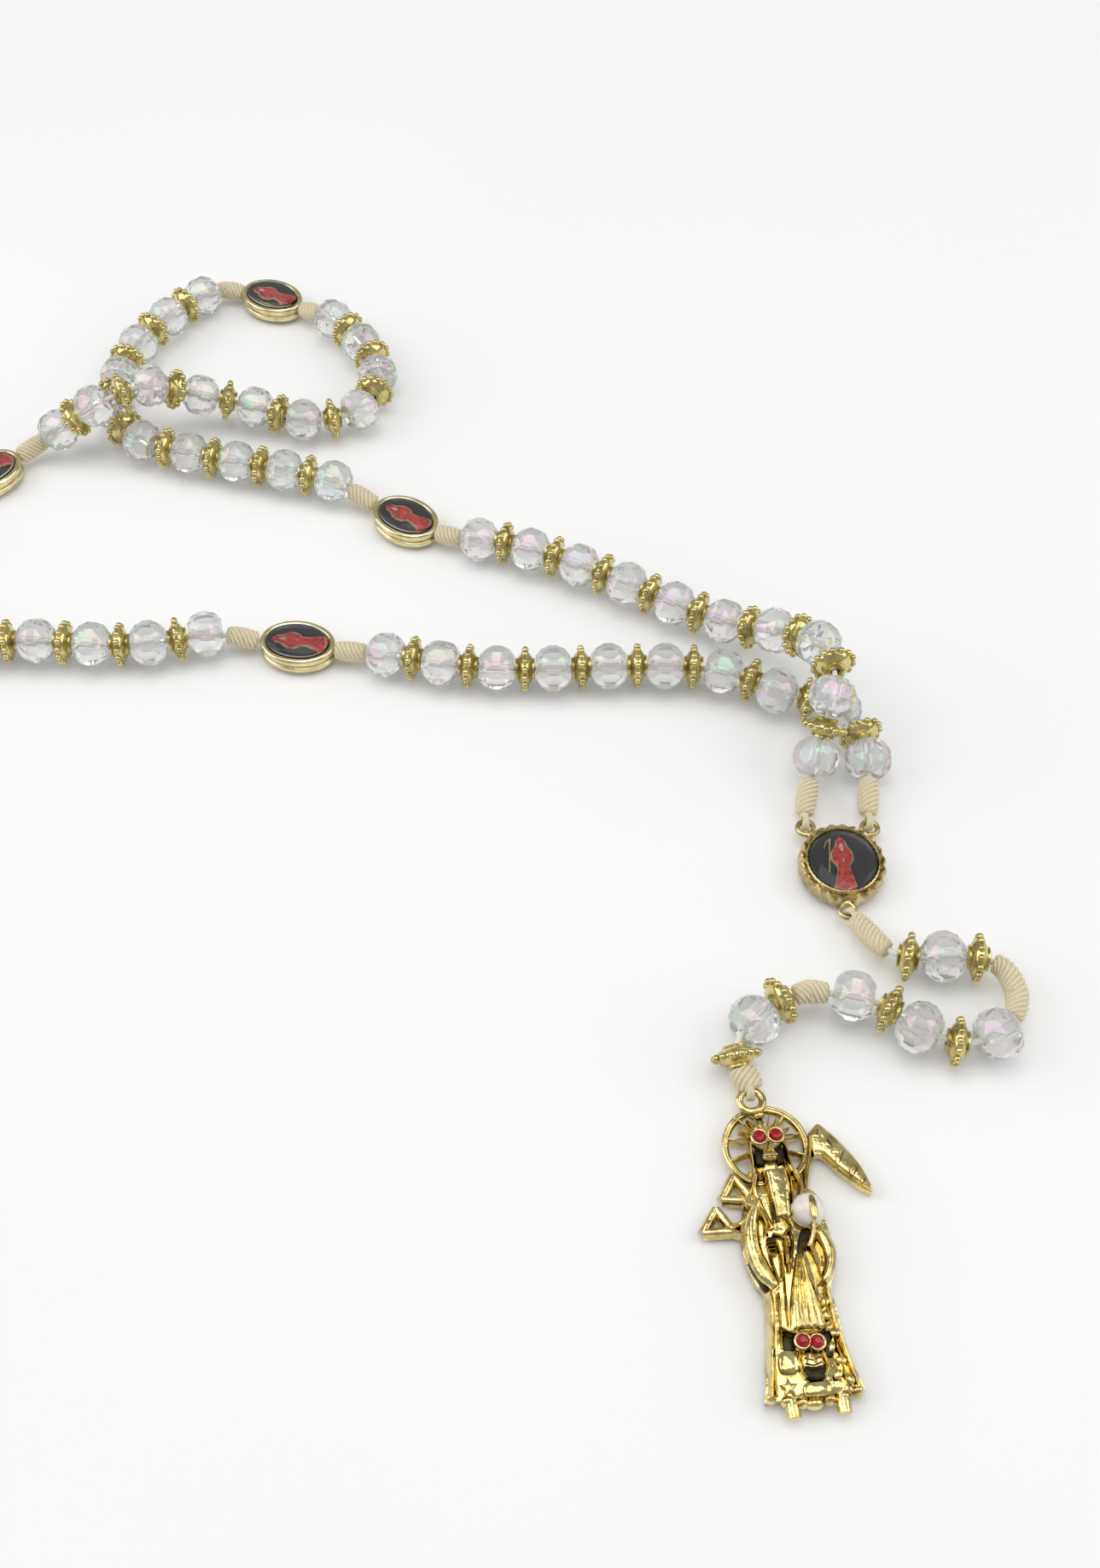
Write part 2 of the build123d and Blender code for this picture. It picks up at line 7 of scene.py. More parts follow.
import json
import logging
import math
from dataclasses import dataclass, field
from enum import Enum

import bpy
import numpy as np
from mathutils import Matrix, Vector

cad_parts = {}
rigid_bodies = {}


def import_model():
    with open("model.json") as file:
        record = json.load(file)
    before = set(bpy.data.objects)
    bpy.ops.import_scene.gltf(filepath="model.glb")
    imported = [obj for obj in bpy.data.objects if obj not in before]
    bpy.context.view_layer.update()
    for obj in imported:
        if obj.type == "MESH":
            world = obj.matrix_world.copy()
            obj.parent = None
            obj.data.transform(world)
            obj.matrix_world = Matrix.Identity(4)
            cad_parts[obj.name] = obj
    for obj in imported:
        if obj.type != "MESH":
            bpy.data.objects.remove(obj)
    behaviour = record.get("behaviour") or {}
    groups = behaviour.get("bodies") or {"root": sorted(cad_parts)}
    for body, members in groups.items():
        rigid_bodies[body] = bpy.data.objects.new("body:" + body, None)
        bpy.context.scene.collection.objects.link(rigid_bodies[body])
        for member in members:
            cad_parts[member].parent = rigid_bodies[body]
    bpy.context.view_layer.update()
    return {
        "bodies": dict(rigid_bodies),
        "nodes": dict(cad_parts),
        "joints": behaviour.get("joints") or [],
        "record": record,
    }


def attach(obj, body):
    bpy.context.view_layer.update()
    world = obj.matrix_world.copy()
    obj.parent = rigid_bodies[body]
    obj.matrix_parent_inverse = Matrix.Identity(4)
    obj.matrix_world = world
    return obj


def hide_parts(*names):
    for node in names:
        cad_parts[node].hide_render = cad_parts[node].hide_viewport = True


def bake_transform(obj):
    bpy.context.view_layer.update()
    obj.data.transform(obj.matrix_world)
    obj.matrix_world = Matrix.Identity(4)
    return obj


LOG = logging.getLogger("rosary")
MM = 0.001
MICRON = 1e-6
MICRONS_IN_METRE = 1e6
FULL_TURN = 2 * math.pi
Array = np.ndarray
Nodes = dict[str, bpy.types.Object]
Colour = tuple[float, float, float]
Spot = tuple[float, float, float]
Corners = list[tuple[float, float]]
UP = np.array([0.0, 0.0, 1.0])

# Creases, in degrees: an edge that turns by more stays sharp.
SMOOTH = 180.0
FACETED = 0.0
GROUND_CREASE = 40.0
SPACER_CREASE = 45.0
RIM_CREASE = 50.0
ROPE_CREASE = 60.0
CAST_CREASE = 62.0
THREAD_CREASE = 70.0

# Cosine above which two directions count as one.
NEARLY_ALONG = 0.98
# Size of the inner ring on a pad's back, as a share of its outline.
PAD_BACK_SHARE = 0.55
# Drop of a ridge's edges, as a share of its height.
RIDGE_DROP = 0.85
# Crown left at a panel's two ends, as a share.
PANEL_END_CROWN = 0.35


# --------------------------------------------------------------------------- surfaces
@dataclass
class Surface:
    """A closed surface held as whole arrays.

    Args:
        points: n rows of x, y, z.
        quads: rows of four point numbers.
        tris: rows of three point numbers.
    """

    points: Array
    quads: Array = field(default_factory=lambda: np.zeros((0, 4), int))
    tris: Array = field(default_factory=lambda: np.zeros((0, 3), int))

    def moved(self, frame: Array) -> "Surface":
        """Return a copy carried by a 4 x 4 frame."""
        return Surface(self.points @ frame[:3, :3].T + frame[:3, 3], self.quads, self.tris)

    def to_object(self, name: str, material: bpy.types.Material, crease: float = SMOOTH) -> bpy.types.Object:
        """Make the piece.

        Args:
            name: the piece's name.
            material: its finish.
            crease: edges that turn by more degrees than this stay sharp.

        Returns:
            The mesh object, in the scene.
        """
        mesh = bpy.data.meshes.new(name)
        mesh.from_pydata(self.points.tolist(), [], self.quads.tolist() + self.tris.tolist())
        mesh.validate()
        if crease > FACETED:
            mesh.shade_smooth()
            if crease < SMOOTH:
                mesh.set_sharp_from_angle(angle=math.radians(crease))
        mesh.materials.append(material)
        piece = bpy.data.objects.new(name, mesh)
        bpy.context.scene.collection.objects.link(piece)
        return piece


def joined(surfaces: list[Surface]) -> Surface:
    """Return several surfaces as one, side by side in the same arrays."""
    starts = np.cumsum([0] + [len(part.points) for part in surfaces[:-1]])
    return Surface(
        np.vstack([part.points for part in surfaces]),
        np.vstack([part.quads + start for part, start in zip(surfaces, starts)]),
        np.vstack([part.tris + start for part, start in zip(surfaces, starts)]),
    )


def grid(points: Array, ring: bool = True, caps: bool = True, loop: bool = False) -> Surface:
    """Return the surface of a grid of points.

    Args:
        points: rows x columns x 3; a row is one section, columns run round it.
        ring: whether the last column meets the first.
        caps: whether the first and last rows are closed by a fan.
        loop: whether the last row meets the first.

    Returns:
        One quad for each cell of the grid, and the fans.
    """
    rows, columns = points.shape[:2]
    number = np.arange(rows * columns).reshape(rows, columns)
    if ring:
        number = np.hstack([number, number[:, :1]])
    if loop:
        number = np.vstack([number, number[:1]])
    quads = np.stack([number[:-1, :-1], number[:-1, 1:], number[1:, 1:], number[1:, :-1]], -1).reshape(-1, 4)
    flat = points.reshape(-1, 3)
    tris = np.zeros((0, 3), int)
    if caps and not loop:
        poles = np.vstack([points[0].mean(0), points[-1].mean(0)])
        first = np.stack([np.full(columns, len(flat)), number[0, 1:], number[0, :-1]], -1)
        last = np.stack([np.full(columns, len(flat) + 1), number[-1, :-1], number[-1, 1:]], -1)
        flat = np.vstack([flat, poles])
        tris = np.vstack([first, last])
    return Surface(flat, quads, tris)


def frame_at(centre: Array, axis: Array, side: Array | None = None) -> Array:
    """Return a 4 x 4 frame whose local Z runs along axis.

    Args:
        centre: where its origin goes.
        axis: direction of its Z.
        side: direction that its X keeps nearest to; world Z when left out.
    """
    along = np.asarray(axis, float) / np.linalg.norm(axis)
    hint = UP if side is None else np.asarray(side, float)
    if abs(hint @ along) > NEARLY_ALONG:
        hint = np.array([1.0, 0.0, 0.0])
    across = hint - along * (hint @ along)
    across /= np.linalg.norm(across)
    frame = np.eye(4)
    frame[:3, 0] = across
    frame[:3, 1] = np.cross(along, across)
    frame[:3, 2] = along
    frame[:3, 3] = centre
    return frame


def turned(angle: float) -> Array:
    """Return a turn about local Z, in radians."""
    frame = np.eye(4)
    frame[:2, :2] = [[math.cos(angle), -math.sin(angle)], [math.sin(angle), math.cos(angle)]]
    return frame


def lathe(profile: Array, columns: int, caps: bool = False) -> Surface:
    """Return a profile of radius, height rows turned about Z: x = r cos a, y = r sin a, z = h."""
    angle = np.arange(columns) / columns * FULL_TURN
    radius, height = profile[:, :1], profile[:, 1:]
    x, y = radius * np.cos(angle), radius * np.sin(angle)
    return grid(np.stack([x, y, np.broadcast_to(height, x.shape)], -1), caps=caps)


def ring_lathe(profile: Array, columns: int) -> Surface:
    """Return a closed profile turned about Z, as a ring with no ends."""
    angle = -np.arange(columns) / columns * FULL_TURN
    x = profile[:, 0] * np.cos(angle)[:, None]
    y = profile[:, 0] * np.sin(angle)[:, None]
    z = np.broadcast_to(profile[:, 1], x.shape)
    return grid(np.stack([x, y, z], -1), caps=False, loop=True)


def torus(radius: float, wire: float, columns: int = 40, sides: int = 16) -> Surface:
    """Return a ring of round wire in local XY."""
    turn = np.arange(sides) / sides * FULL_TURN
    return ring_lathe(np.stack([radius + wire * np.cos(turn), wire * np.sin(turn)], -1), columns)


def ball(radius: float, columns: int = 8, rows: int = 5) -> Surface:
    """Return a sphere: latitude by row, longitude by column, with closed poles."""
    tilt = np.linspace(-math.pi / 2, math.pi / 2, rows + 2)[1:-1]
    surface = lathe(np.stack([radius * np.cos(tilt), radius * np.sin(tilt)], -1), columns, caps=True)
    surface.points[-2:] = [[0, 0, -radius], [0, 0, radius]]
    return surface


def catmull_rom(corners: list[Array], t: Array) -> Array:
    """Return the smooth cubic between the second and third of four corners, t from 0 to 1."""
    a, b, c, d = corners
    return 0.5 * (2 * b + (c - a) * t + (2 * a - 5 * b + 4 * c - d) * t**2 + (3 * b - a - 3 * c + d) * t**3)


def rounded(corners: Corners, count: int) -> Array:
    """Return a smooth closed outline through corners: a periodic Catmull-Rom curve, count points."""
    corner = np.array(corners, float)
    share = np.arange(count) / count * len(corner)
    start = share.astype(int)
    t = (share - start)[:, None]
    return catmull_rom([corner[(start + step) % len(corner)] for step in (-1, 0, 1, 2)], t)


def flowing(corners: list[tuple[float, ...]], count: int) -> Array:
    """Return a smooth open line through corners: a clamped Catmull-Rom curve, count points."""
    corner = np.array(corners, float)
    corner = np.vstack([2 * corner[0] - corner[1], corner, 2 * corner[-1] - corner[-2]])
    share = np.linspace(0, len(corner) - 3, count)
    start = np.minimum(share.astype(int), len(corner) - 4)
    t = (share - start)[:, None]
    return catmull_rom([corner[start + step] for step in (0, 1, 2, 3)], t)


def pillow(outline: Array, base: float, wall: float, crown: float, rings: int = 7) -> Surface:
    """Return a flat-backed pad: an outline with an upright wall and a crowned top.

    Ring k is the outline shrunk to cos(a) about its middle and lifted by crown * sin(a).

    Args:
        outline: rows of x, y, anticlockwise.
        base: height of its flat back.
        wall: height of its wall.
        crown: rise of its top above the wall.
        rings: sections of the crown.
    """
    middle = outline.mean(0)
    tilt = np.linspace(0, math.pi / 2, rings + 1)[:-1]
    shrink = np.concatenate([[PAD_BACK_SHARE, 1.0], np.cos(tilt)])[:, None, None]
    height = np.concatenate([[base, base], base + wall + crown * np.sin(tilt)])
    flat = middle + (outline - middle) * shrink
    rise = np.broadcast_to(height[:, None, None], flat.shape[:2] + (1,))
    return grid(np.concatenate([flat, rise], -1))


def ridge(line: Array, half_width: Array, base: float, height: Array, sides: int = 9,
          power: float = 2.0) -> Surface:
    """Return a raised strip along a line: across it, t from -1 to 1, it stands 1 - drop * |t|^power high.

    Args:
        line: rows of x, y.
        half_width: half its width at each row.
        base: height of its flat back.
        height: rise of its middle at each row.
        sides: points across the top.
        power: how square its section is.
    """
    along = np.gradient(line, axis=0)
    along /= np.linalg.norm(along, axis=1, keepdims=True)
    normal = np.stack([along[:, 1], -along[:, 0]], -1)
    across = np.linspace(-1, 1, sides)
    width = np.broadcast_to(half_width, len(line))[:, None, None]
    lift = np.broadcast_to(height, len(line))[:, None]
    top = line[:, None] + normal[:, None] * across[None, :, None] * width
    top_z = base + lift * (1 - np.abs(across) ** power * RIDGE_DROP)
    back = top[:, [-1, 0]]
    back_z = np.full((len(line), 2), base)
    flat = np.concatenate([top, back], 1)
    rise = np.concatenate([top_z, back_z], 1)[..., None]
    return grid(np.concatenate([flat, rise], -1)[:, ::-1])


# --------------------------------------------------------------------------- reading the CAD nodes
def node_pieces(node: bpy.types.Object) -> list[Array]:
    """Return the points of each separate solid of a CAD node.

    Its triangles are loose, so equal corners are merged first, and each triangle then passes its
    lowest label to its corners until nothing changes.
    """
    count = len(node.data.vertices)
    raw = np.empty(count * 3, np.float32)
    node.data.vertices.foreach_get("co", raw)
    corners = np.empty(len(node.data.loops), np.int32)
    node.data.loops.foreach_get("vertex_index", corners)
    steps = np.round(raw.reshape(-1, 3) * MICRONS_IN_METRE).astype(np.int64)
    points, same = np.unique(steps, axis=0, return_inverse=True)
    triangles = same.reshape(-1)[corners].reshape(-1, 3)
    label = np.arange(len(points))
    while True:
        low = label[triangles].min(1)
        fresh = label.copy()
        for column in range(3):
            np.minimum.at(fresh, triangles[:, column], low)
        fresh = fresh[fresh]
        if np.array_equal(fresh, label):
            break
        label = fresh
    return [points[label == name] * MICRON for name in np.unique(label)]


def bead_frame(points: Array) -> Array:
    """Return the frame of a round bead: the axis is the direction whose spread is unlike the other two."""
    centre = (points.max(0) + points.min(0)) / 2
    spread, directions = np.linalg.eigh(np.cov((points - centre).T))
    axis = directions[:, 0] if spread[1] - spread[0] > spread[2] - spread[1] else directions[:, 2]
    return frame_at(centre, axis)


# --------------------------------------------------------------------------- finishes
# Strength of each finer layer of a noise, as a share of the one before.
LAYER_SHARE = 0.55


class Finish:
    """Shared steps of the procedural finishes."""

    def __init__(self, name: str) -> None:
        """Start a node material called name."""
        self.material = bpy.data.materials.new(name)
        self.material.use_nodes = True
        self.nodes = self.material.node_tree.nodes
        self.links = self.material.node_tree.links
        self.shader = self.nodes["Principled BSDF"]
        self.place = self.nodes.new("ShaderNodeTexCoord").outputs["Object"]

    def set(self, **values: object) -> None:
        """Set the shader's own sockets; an underscore in a name stands for a space."""
        for name, value in values.items():
            self.shader.inputs[name.replace("_", " ")].default_value = value

    def noise(self, scale: float, detail: float = 3.0) -> bpy.types.NodeSocket:
        """Return a noise over object coordinates, 0 to 1.

        Args:
            scale: blotches in a metre.
            detail: how many finer layers it has.
        """
        node = self.nodes.new("ShaderNodeTexNoise")
        node.inputs["Scale"].default_value = scale
        node.inputs["Detail"].default_value = detail
        node.inputs["Roughness"].default_value = LAYER_SHARE
        self.links.new(self.place, node.inputs["Vector"])
        return node.outputs["Fac"]

    def ramp(self, source: bpy.types.NodeSocket, stops: list[tuple[float, tuple]]) -> bpy.types.NodeSocket:
        """Return source read through colour stops of place and red, green, blue."""
        node = self.nodes.new("ShaderNodeValToRGB")
        points = node.color_ramp.elements
        while len(points) < len(stops):
            points.new(0.5)
        for point, (where, colour) in zip(points, stops):
            point.position = where
            point.color = (*colour, 1.0)
        self.links.new(source, node.inputs["Fac"])
        return node.outputs["Color"]

    def spread(self, source: bpy.types.NodeSocket, low: float, high: float) -> bpy.types.NodeSocket:
        """Return source mapped from 0..1 to low..high."""
        node = self.nodes.new("ShaderNodeMapRange")
        node.inputs["To Min"].default_value = low
        node.inputs["To Max"].default_value = high
        self.links.new(source, node.inputs["Value"])
        return node.outputs["Result"]

    def tint(self, scale: float, detail: float, dark: tuple[float, Colour],
             light: tuple[float, Colour]) -> None:
        """Colour the surface in patches.

        Args:
            scale: as for noise.
            detail: as for noise.
            dark: the noise at which the darker colour starts, and that colour.
            light: the noise at which the lighter colour is reached, and that colour.
        """
        self.links.new(self.ramp(self.noise(scale, detail), [dark, light]), self.shader.inputs["Base Color"])

    def roughen(self, scale: float, low: float, high: float) -> None:
        """Let the roughness wander between low and high."""
        self.links.new(self.spread(self.noise(scale), low, high), self.shader.inputs["Roughness"])

    def bump(self, scale: float, depth: float) -> None:
        """Raise the surface by a noise of up to depth, in metres."""
        node = self.nodes.new("ShaderNodeBump")
        node.inputs["Distance"].default_value = depth
        node.inputs["Strength"].default_value = 1.0
        self.links.new(self.noise(scale, 2.0), node.inputs["Height"])
        self.links.new(node.outputs["Normal"], self.shader.inputs["Normal"])


@dataclass(frozen=True)
class GoldFinish:
    """Gold plate over a casting.

    Args:
        name: the finish's name.
        colour: of the clean plate.
        shade: of the plate in its dull patches.
        rough: lowest and highest roughness.
        pit: depth of the casting's unevenness in metres.
        patch_scale: dull patches in a metre.
        rough_scale: changes of roughness in a metre.
        pit_scale: pits in a metre.
    """

    name: str
    colour: Colour
    shade: Colour
    rough: tuple[float, float]
    pit: float
    patch_scale: float = 420.0
    rough_scale: float = 900.0
    pit_scale: float = 700.0

    def build(self) -> bpy.types.Material:
        """Make the material."""
        finish = Finish(self.name)
        finish.set(Metallic=1.0)
        finish.tint(self.patch_scale, 4.0, (0.32, self.shade), (0.6, self.colour))
        finish.roughen(self.rough_scale, *self.rough)
        finish.bump(self.pit_scale, self.pit)
        return finish.material


@dataclass(frozen=True)
class GlassFinish:
    """Clear glass or resin, with or without a thin iridescent coat.

    Args:
        name: the finish's name.
        colour: of the glass.
        film: thinnest and thickest coat in nanometres; 0 and 0 for none.
        rough: lowest roughness; the highest is three times as much.
        clear: share of the light that passes.
        index: refractive index of the glass.
        film_index: refractive index of the coat.
    """

    name: str
    colour: Colour = (0.99, 0.99, 0.98)
    film: tuple[float, float] = (230.0, 640.0)
    rough: float = 0.035
    clear: float = 0.8
    index: float = 1.52
    film_index: float = 1.78

    def build(self) -> bpy.types.Material:
        """Make the material."""
        finish = Finish(self.name)
        finish.set(IOR=self.index, Transmission_Weight=self.clear, Thin_Film_IOR=self.film_index)
        if self.film[1]:
            thickness = finish.spread(finish.noise(70.0, 1.0), *self.film)
            finish.links.new(thickness, finish.shader.inputs["Thin Film Thickness"])
        shade = tuple(0.95 * part for part in self.colour)
        finish.tint(160.0, 1.0, (0.35, shade), (0.62, self.colour))
        finish.roughen(600.0, self.rough, self.rough * 3)
        return finish.material


@dataclass(frozen=True)
class ThreadFinish:
    """Waxed thread: sheen, a little light under its skin, and fine fibres."""

    name: str
    colour: Colour = (0.76, 0.68, 0.47)
    shade: Colour = (0.5, 0.43, 0.26)
    fibre: float = 0.00003

    def build(self) -> bpy.types.Material:
        """Make the material."""
        finish = Finish(self.name)
        finish.set(Sheen_Weight=0.25, Sheen_Roughness=0.5, Subsurface_Weight=0.15, Subsurface_Scale=0.0006)
        finish.tint(5000.0, 3.0, (0.25, self.shade), (0.5, self.colour))
        finish.roughen(1500.0, 0.5, 0.75)
        finish.bump(9000.0, self.fibre)
        return finish.material


@dataclass(frozen=True)
class EnamelFinish:
    """A printed colour under gloss."""

    name: str
    colour: Colour
    shade: Colour
    rough: tuple[float, float] = (0.3, 0.5)

    def build(self) -> bpy.types.Material:
        """Make the material."""
        finish = Finish(self.name)
        finish.set(Coat_Weight=0.4, Coat_Roughness=0.05)
        finish.tint(1500.0, 4.0, (0.36, self.shade), (0.6, self.colour))
        finish.roughen(2500.0, *self.rough)
        return finish.material


@dataclass(frozen=True)
class PearlFinish:
    """A pearl's lustre: soft body colour under a clear coat with a faint film."""

    name: str = "pearl_lustre"
    colour: Colour = (0.86, 0.83, 0.8)
    shade: Colour = (0.7, 0.62, 0.56)

    def build(self) -> bpy.types.Material:
        """Make the material."""
        finish = Finish(self.name)
        finish.set(Subsurface_Weight=0.35, Subsurface_Scale=0.0012, Coat_Weight=0.8, Coat_Roughness=0.12,
                   Thin_Film_Thickness=240.0, Thin_Film_IOR=1.36)
        finish.tint(230.0, 2.0, (0.35, self.shade), (0.62, self.colour))
        finish.roughen(500.0, 0.2, 0.34)
        return finish.material


@dataclass(frozen=True)
class StageFinish:
    """Matt white card."""

    name: str = "white_card"
    colour: Colour = (0.95, 0.95, 0.95)
    shade: Colour = (0.93, 0.93, 0.93)

    def build(self) -> bpy.types.Material:
        """Make the material."""
        finish = Finish(self.name)
        finish.set(Roughness=0.9)
        finish.tint(6.0, 2.0, (0.3, self.shade), (0.7, self.colour))
        return finish.material


class Look(Enum):
    """The finishes of the rosary's pieces."""

    CRYSTAL = GlassFinish("cut_glass")
    DOME = GlassFinish("clear_resin", (0.98, 0.98, 0.98), (0.0, 0.0), 0.012, 1.0, 1.33)
    RUBY = GlassFinish("red_glass", (0.5, 0.002, 0.008), (0.0, 0.0), 0.03, 0.45)
    SPACER = GoldFinish("pale_gold_plate", (0.71, 0.61, 0.27), (0.42, 0.35, 0.13), (0.06, 0.15), 0.000008)
    BEZEL = GoldFinish("polished_gold_rim", (0.84, 0.76, 0.46), (0.6, 0.52, 0.28), (0.08, 0.2), 0.00001)
    ANTIQUE = GoldFinish("antiqued_gold", (0.66, 0.55, 0.28), (0.3, 0.23, 0.11), (0.16, 0.36), 0.00003)
    CAST = GoldFinish("bright_cast_gold", (0.84, 0.69, 0.31), (0.38, 0.3, 0.12), (0.05, 0.15), 0.0001)
    # Painted shade: a near-black gold for the pads laid where the casting's hollows fall in shade.
    PAINTED_SHADE = GoldFinish("painted_shade_gold", (0.05, 0.042, 0.025), (0.015, 0.012, 0.008), (0.25, 0.45),
                        0.00004)
    THREAD = ThreadFinish("ivory_thread")
    CORD = ThreadFinish("ivory_cord", (0.88, 0.86, 0.8), (0.66, 0.62, 0.54))
    BLACK = EnamelFinish("black_ground", (0.012, 0.01, 0.012), (0.004, 0.004, 0.005))
    RED = EnamelFinish("red_robe", (0.72, 0.05, 0.035), (0.3, 0.012, 0.012))
    FLESH = EnamelFinish("pale_face", (0.62, 0.5, 0.4), (0.38, 0.28, 0.2))
    GILT = EnamelFinish("gilt_line", (0.6, 0.48, 0.22), (0.3, 0.22, 0.08))
    PEARL = PearlFinish()
    CARD = StageFinish()


MADE: dict[Look, bpy.types.Material] = {}


def dressed(look: Look) -> bpy.types.Material:
    """Return a finish's material, made once."""
    if look not in MADE:
        MADE[look] = look.value.build()
    return MADE[look]


def place_piece(piece: bpy.types.Object, body: str, nodes: tuple[str, ...], slot: str) -> None:
    """Let a piece ride on a body and stand for CAD nodes.

    Args:
        piece: the piece.
        body: what it rides on.
        nodes: the CAD nodes that it stands for, if any.
        slot: not used.
    """
    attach(piece, body)
    if nodes:
        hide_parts(*nodes)
    LOG.info("%s rides on %s", piece.name, body)


# --------------------------------------------------------------------------- beads
@dataclass
class CrystalBead:
    """A cut-glass rondelle with kite facets, a crowned girdle and a bore.

    Args:
        radius: at the girdle's corners.
        half_length: along the bore.
        table: radius of its end.
        bore: radius of its hole.
        shoulder: radius between the end and the girdle.
        mouth_at: height of the hole's mouth, as a share of half_length.
        shoulder_at: height of the shoulder, as the same share.
        girdle_at: height of the girdle's edge, as the same share.
        facets: kites round each half.
    """

    radius: float = 3.98 * MM
    half_length: float = 2.98 * MM
    table: float = 2.35 * MM
    bore: float = 0.62 * MM
    shoulder: float = 3.5 * MM
    mouth_at: float = 0.93
    shoulder_at: float = 0.66
    girdle_at: float = 0.24
    facets: int = 10

    def shape(self) -> Surface:
        """Return the bead, its bore along Z.

        Rings of corners stand at the end, the shoulder and the girdle's edge. The shoulder ring is
        turned by half a facet, so triangles join it to its neighbours; rectangles make the girdle.
        """
        count = self.facets
        number = np.arange(count)
        half = [(self.bore, self.mouth_at, 0.0), (self.table, 1.0, 0.0),
                (self.shoulder, self.shoulder_at, 0.5), (self.radius, self.girdle_at, 0.0)]
        rings = []
        for radius, height, offset in [(r, -h, o) for r, h, o in half] + half[::-1]:
            angle = (number + offset) * (FULL_TURN / count)
            level = np.full(count, height * self.half_length)
            rings.append(np.stack([radius * np.cos(angle), radius * np.sin(angle), level], -1))
        here, there = number, (number + 1) % count
        b0, e0, s0, g0, g1, s1, e1, b1 = (ring * count for ring in range(8))
        quads = [(b0, e0), (g0, g1), (e1, b1), (b1, b0)]
        tris = []
        for edge, middle, girdle in ((e0, s0, g0), (e1, s1, g1)):
            low = edge == e0
            fans = [(edge + here, edge + there, middle + here),
                    (middle + here, girdle + there, girdle + here),
                    (edge + there, middle + there, middle + here),
                    (middle + here, middle + there, girdle + there)]
            tris += [np.stack(fan if low else fan[::-1], -1) for fan in fans]
        sides = [np.stack([low + here, low + there, high + there, high + here], -1) for low, high in quads]
        return Surface(np.vstack(rings), np.vstack(sides), np.vstack(tris))


@dataclass
class SpacerBead:
    """A gold lentil with a lip at each end and a ring of balls round its middle.

    Args:
        half_length: along the bore.
        end: radius of the lip.
        belly: radius of the middle.
        bore: radius of its hole.
        grain: radius of a ball.
        grain_ring: radius of the circle of the balls' middles.
        grains: number of balls.
    """

    half_length: float = 1.68 * MM
    end: float = 1.9 * MM
    belly: float = 3.2 * MM
    bore: float = 0.8 * MM
    grain: float = 0.6 * MM
    grain_ring: float = 3.32 * MM
    grains: int = 14

    def shape(self) -> Surface:
        """Return the bead, its bore along Z: a closed turned profile and the balls."""
        rows = np.array([
            (self.bore, 1.0), (self.end * 0.92, 1.0), (self.end, 0.94), (self.end, 0.84),
            (self.end * 0.95, 0.78), (self.belly * 0.76, 0.6), (self.belly * 0.92, 0.34), (self.belly, 0.12),
        ])
        profile = np.vstack([rows * [1.0, -self.half_length], rows[::-1] * [1.0, self.half_length]])
        balls = []
        for turn in np.arange(self.grains) / self.grains * FULL_TURN:
            spot = np.array([math.cos(turn), math.sin(turn), 0.0]) * self.grain_ring
            balls.append(ball(self.grain).moved(frame_at(spot, spot)))
        return joined([ring_lathe(profile, 24), *balls])


@dataclass
class BeadGroup:
    """Beads of one kind that one CAD node holds.

    Args:
        node: the CAD node.
        body: what it rides on.
        bead: one bead, its bore along Z.
        look: its finish.
        slot: its material slot.
        crease: as for Surface.to_object.
    """

    node: str
    body: str
    bead: Surface
    look: Look
    slot: str
    crease: float

    def build(self, nodes: Nodes, rolls: np.random.Generator) -> None:
        """Thread a copy of the bead wherever the node has one, each rolled its own way about the cord.

        Args:
            nodes: the CAD nodes by name.
            rolls: gives each bead's roll.
        """
        copies = []
        for points in node_pieces(nodes[self.node]):
            copies.append(self.bead.moved(bead_frame(points) @ turned(rolls.uniform(0, FULL_TURN))))
        piece = joined(copies).to_object(f"{self.node}_piece", dressed(self.look), self.crease)
        place_piece(piece, self.body, (self.node,), self.slot)


# --------------------------------------------------------------------------- cord and wraps
CORD_DIAMETER = 0.9 * MM


def distances(line: Array) -> Array:
    """Return how far along a line each of its points is."""
    return np.concatenate([[0], np.cumsum(np.linalg.norm(np.diff(line, axis=0), axis=1))])


@dataclass
class Route:
    """One stretch of the cord, from its held end outwards.

    Args:
        name: the stretch's name.
        body: what it rides on.
        points: its points, in millimetres, as in the part's source.
    """

    name: str
    body: str
    points: list[Spot]

    def curve(self, diameter: float) -> bpy.types.Object:
        """Return the stretch as one open NURBS spline with a round section."""
        data = bpy.data.curves.new(self.name, "CURVE")
        data.dimensions = "3D"
        data.resolution_u = 12
        data.bevel_depth = diameter / 2
        data.bevel_resolution = 3
        data.use_fill_caps = True
        spline = data.splines.new("NURBS")
        spline.points.add(len(self.points) - 1)
        rows = np.hstack([np.array(self.points) * MM, np.ones((len(self.points), 1))])
        spline.points.foreach_set("co", rows.astype(np.float32).ravel())
        spline.order_u = 3
        spline.use_endpoint_u = True
        piece = bpy.data.objects.new(self.name, data)
        bpy.context.scene.collection.objects.link(piece)
        return piece

    def line(self) -> Array:
        """Return points along the spline's middle, as Blender gives them for a curve with no bevel."""
        piece = self.curve(0.0)
        bpy.context.view_layer.update()
        mesh = bpy.data.meshes.new_from_object(piece.evaluated_get(bpy.context.evaluated_depsgraph_get()))
        raw = np.empty(len(mesh.vertices) * 3, np.float32)
        mesh.vertices.foreach_get("co", raw)
        bpy.data.meshes.remove(mesh)
        data = piece.data
        bpy.data.objects.remove(piece)
        bpy.data.curves.remove(data)
        return raw.reshape(-1, 3).astype(float)


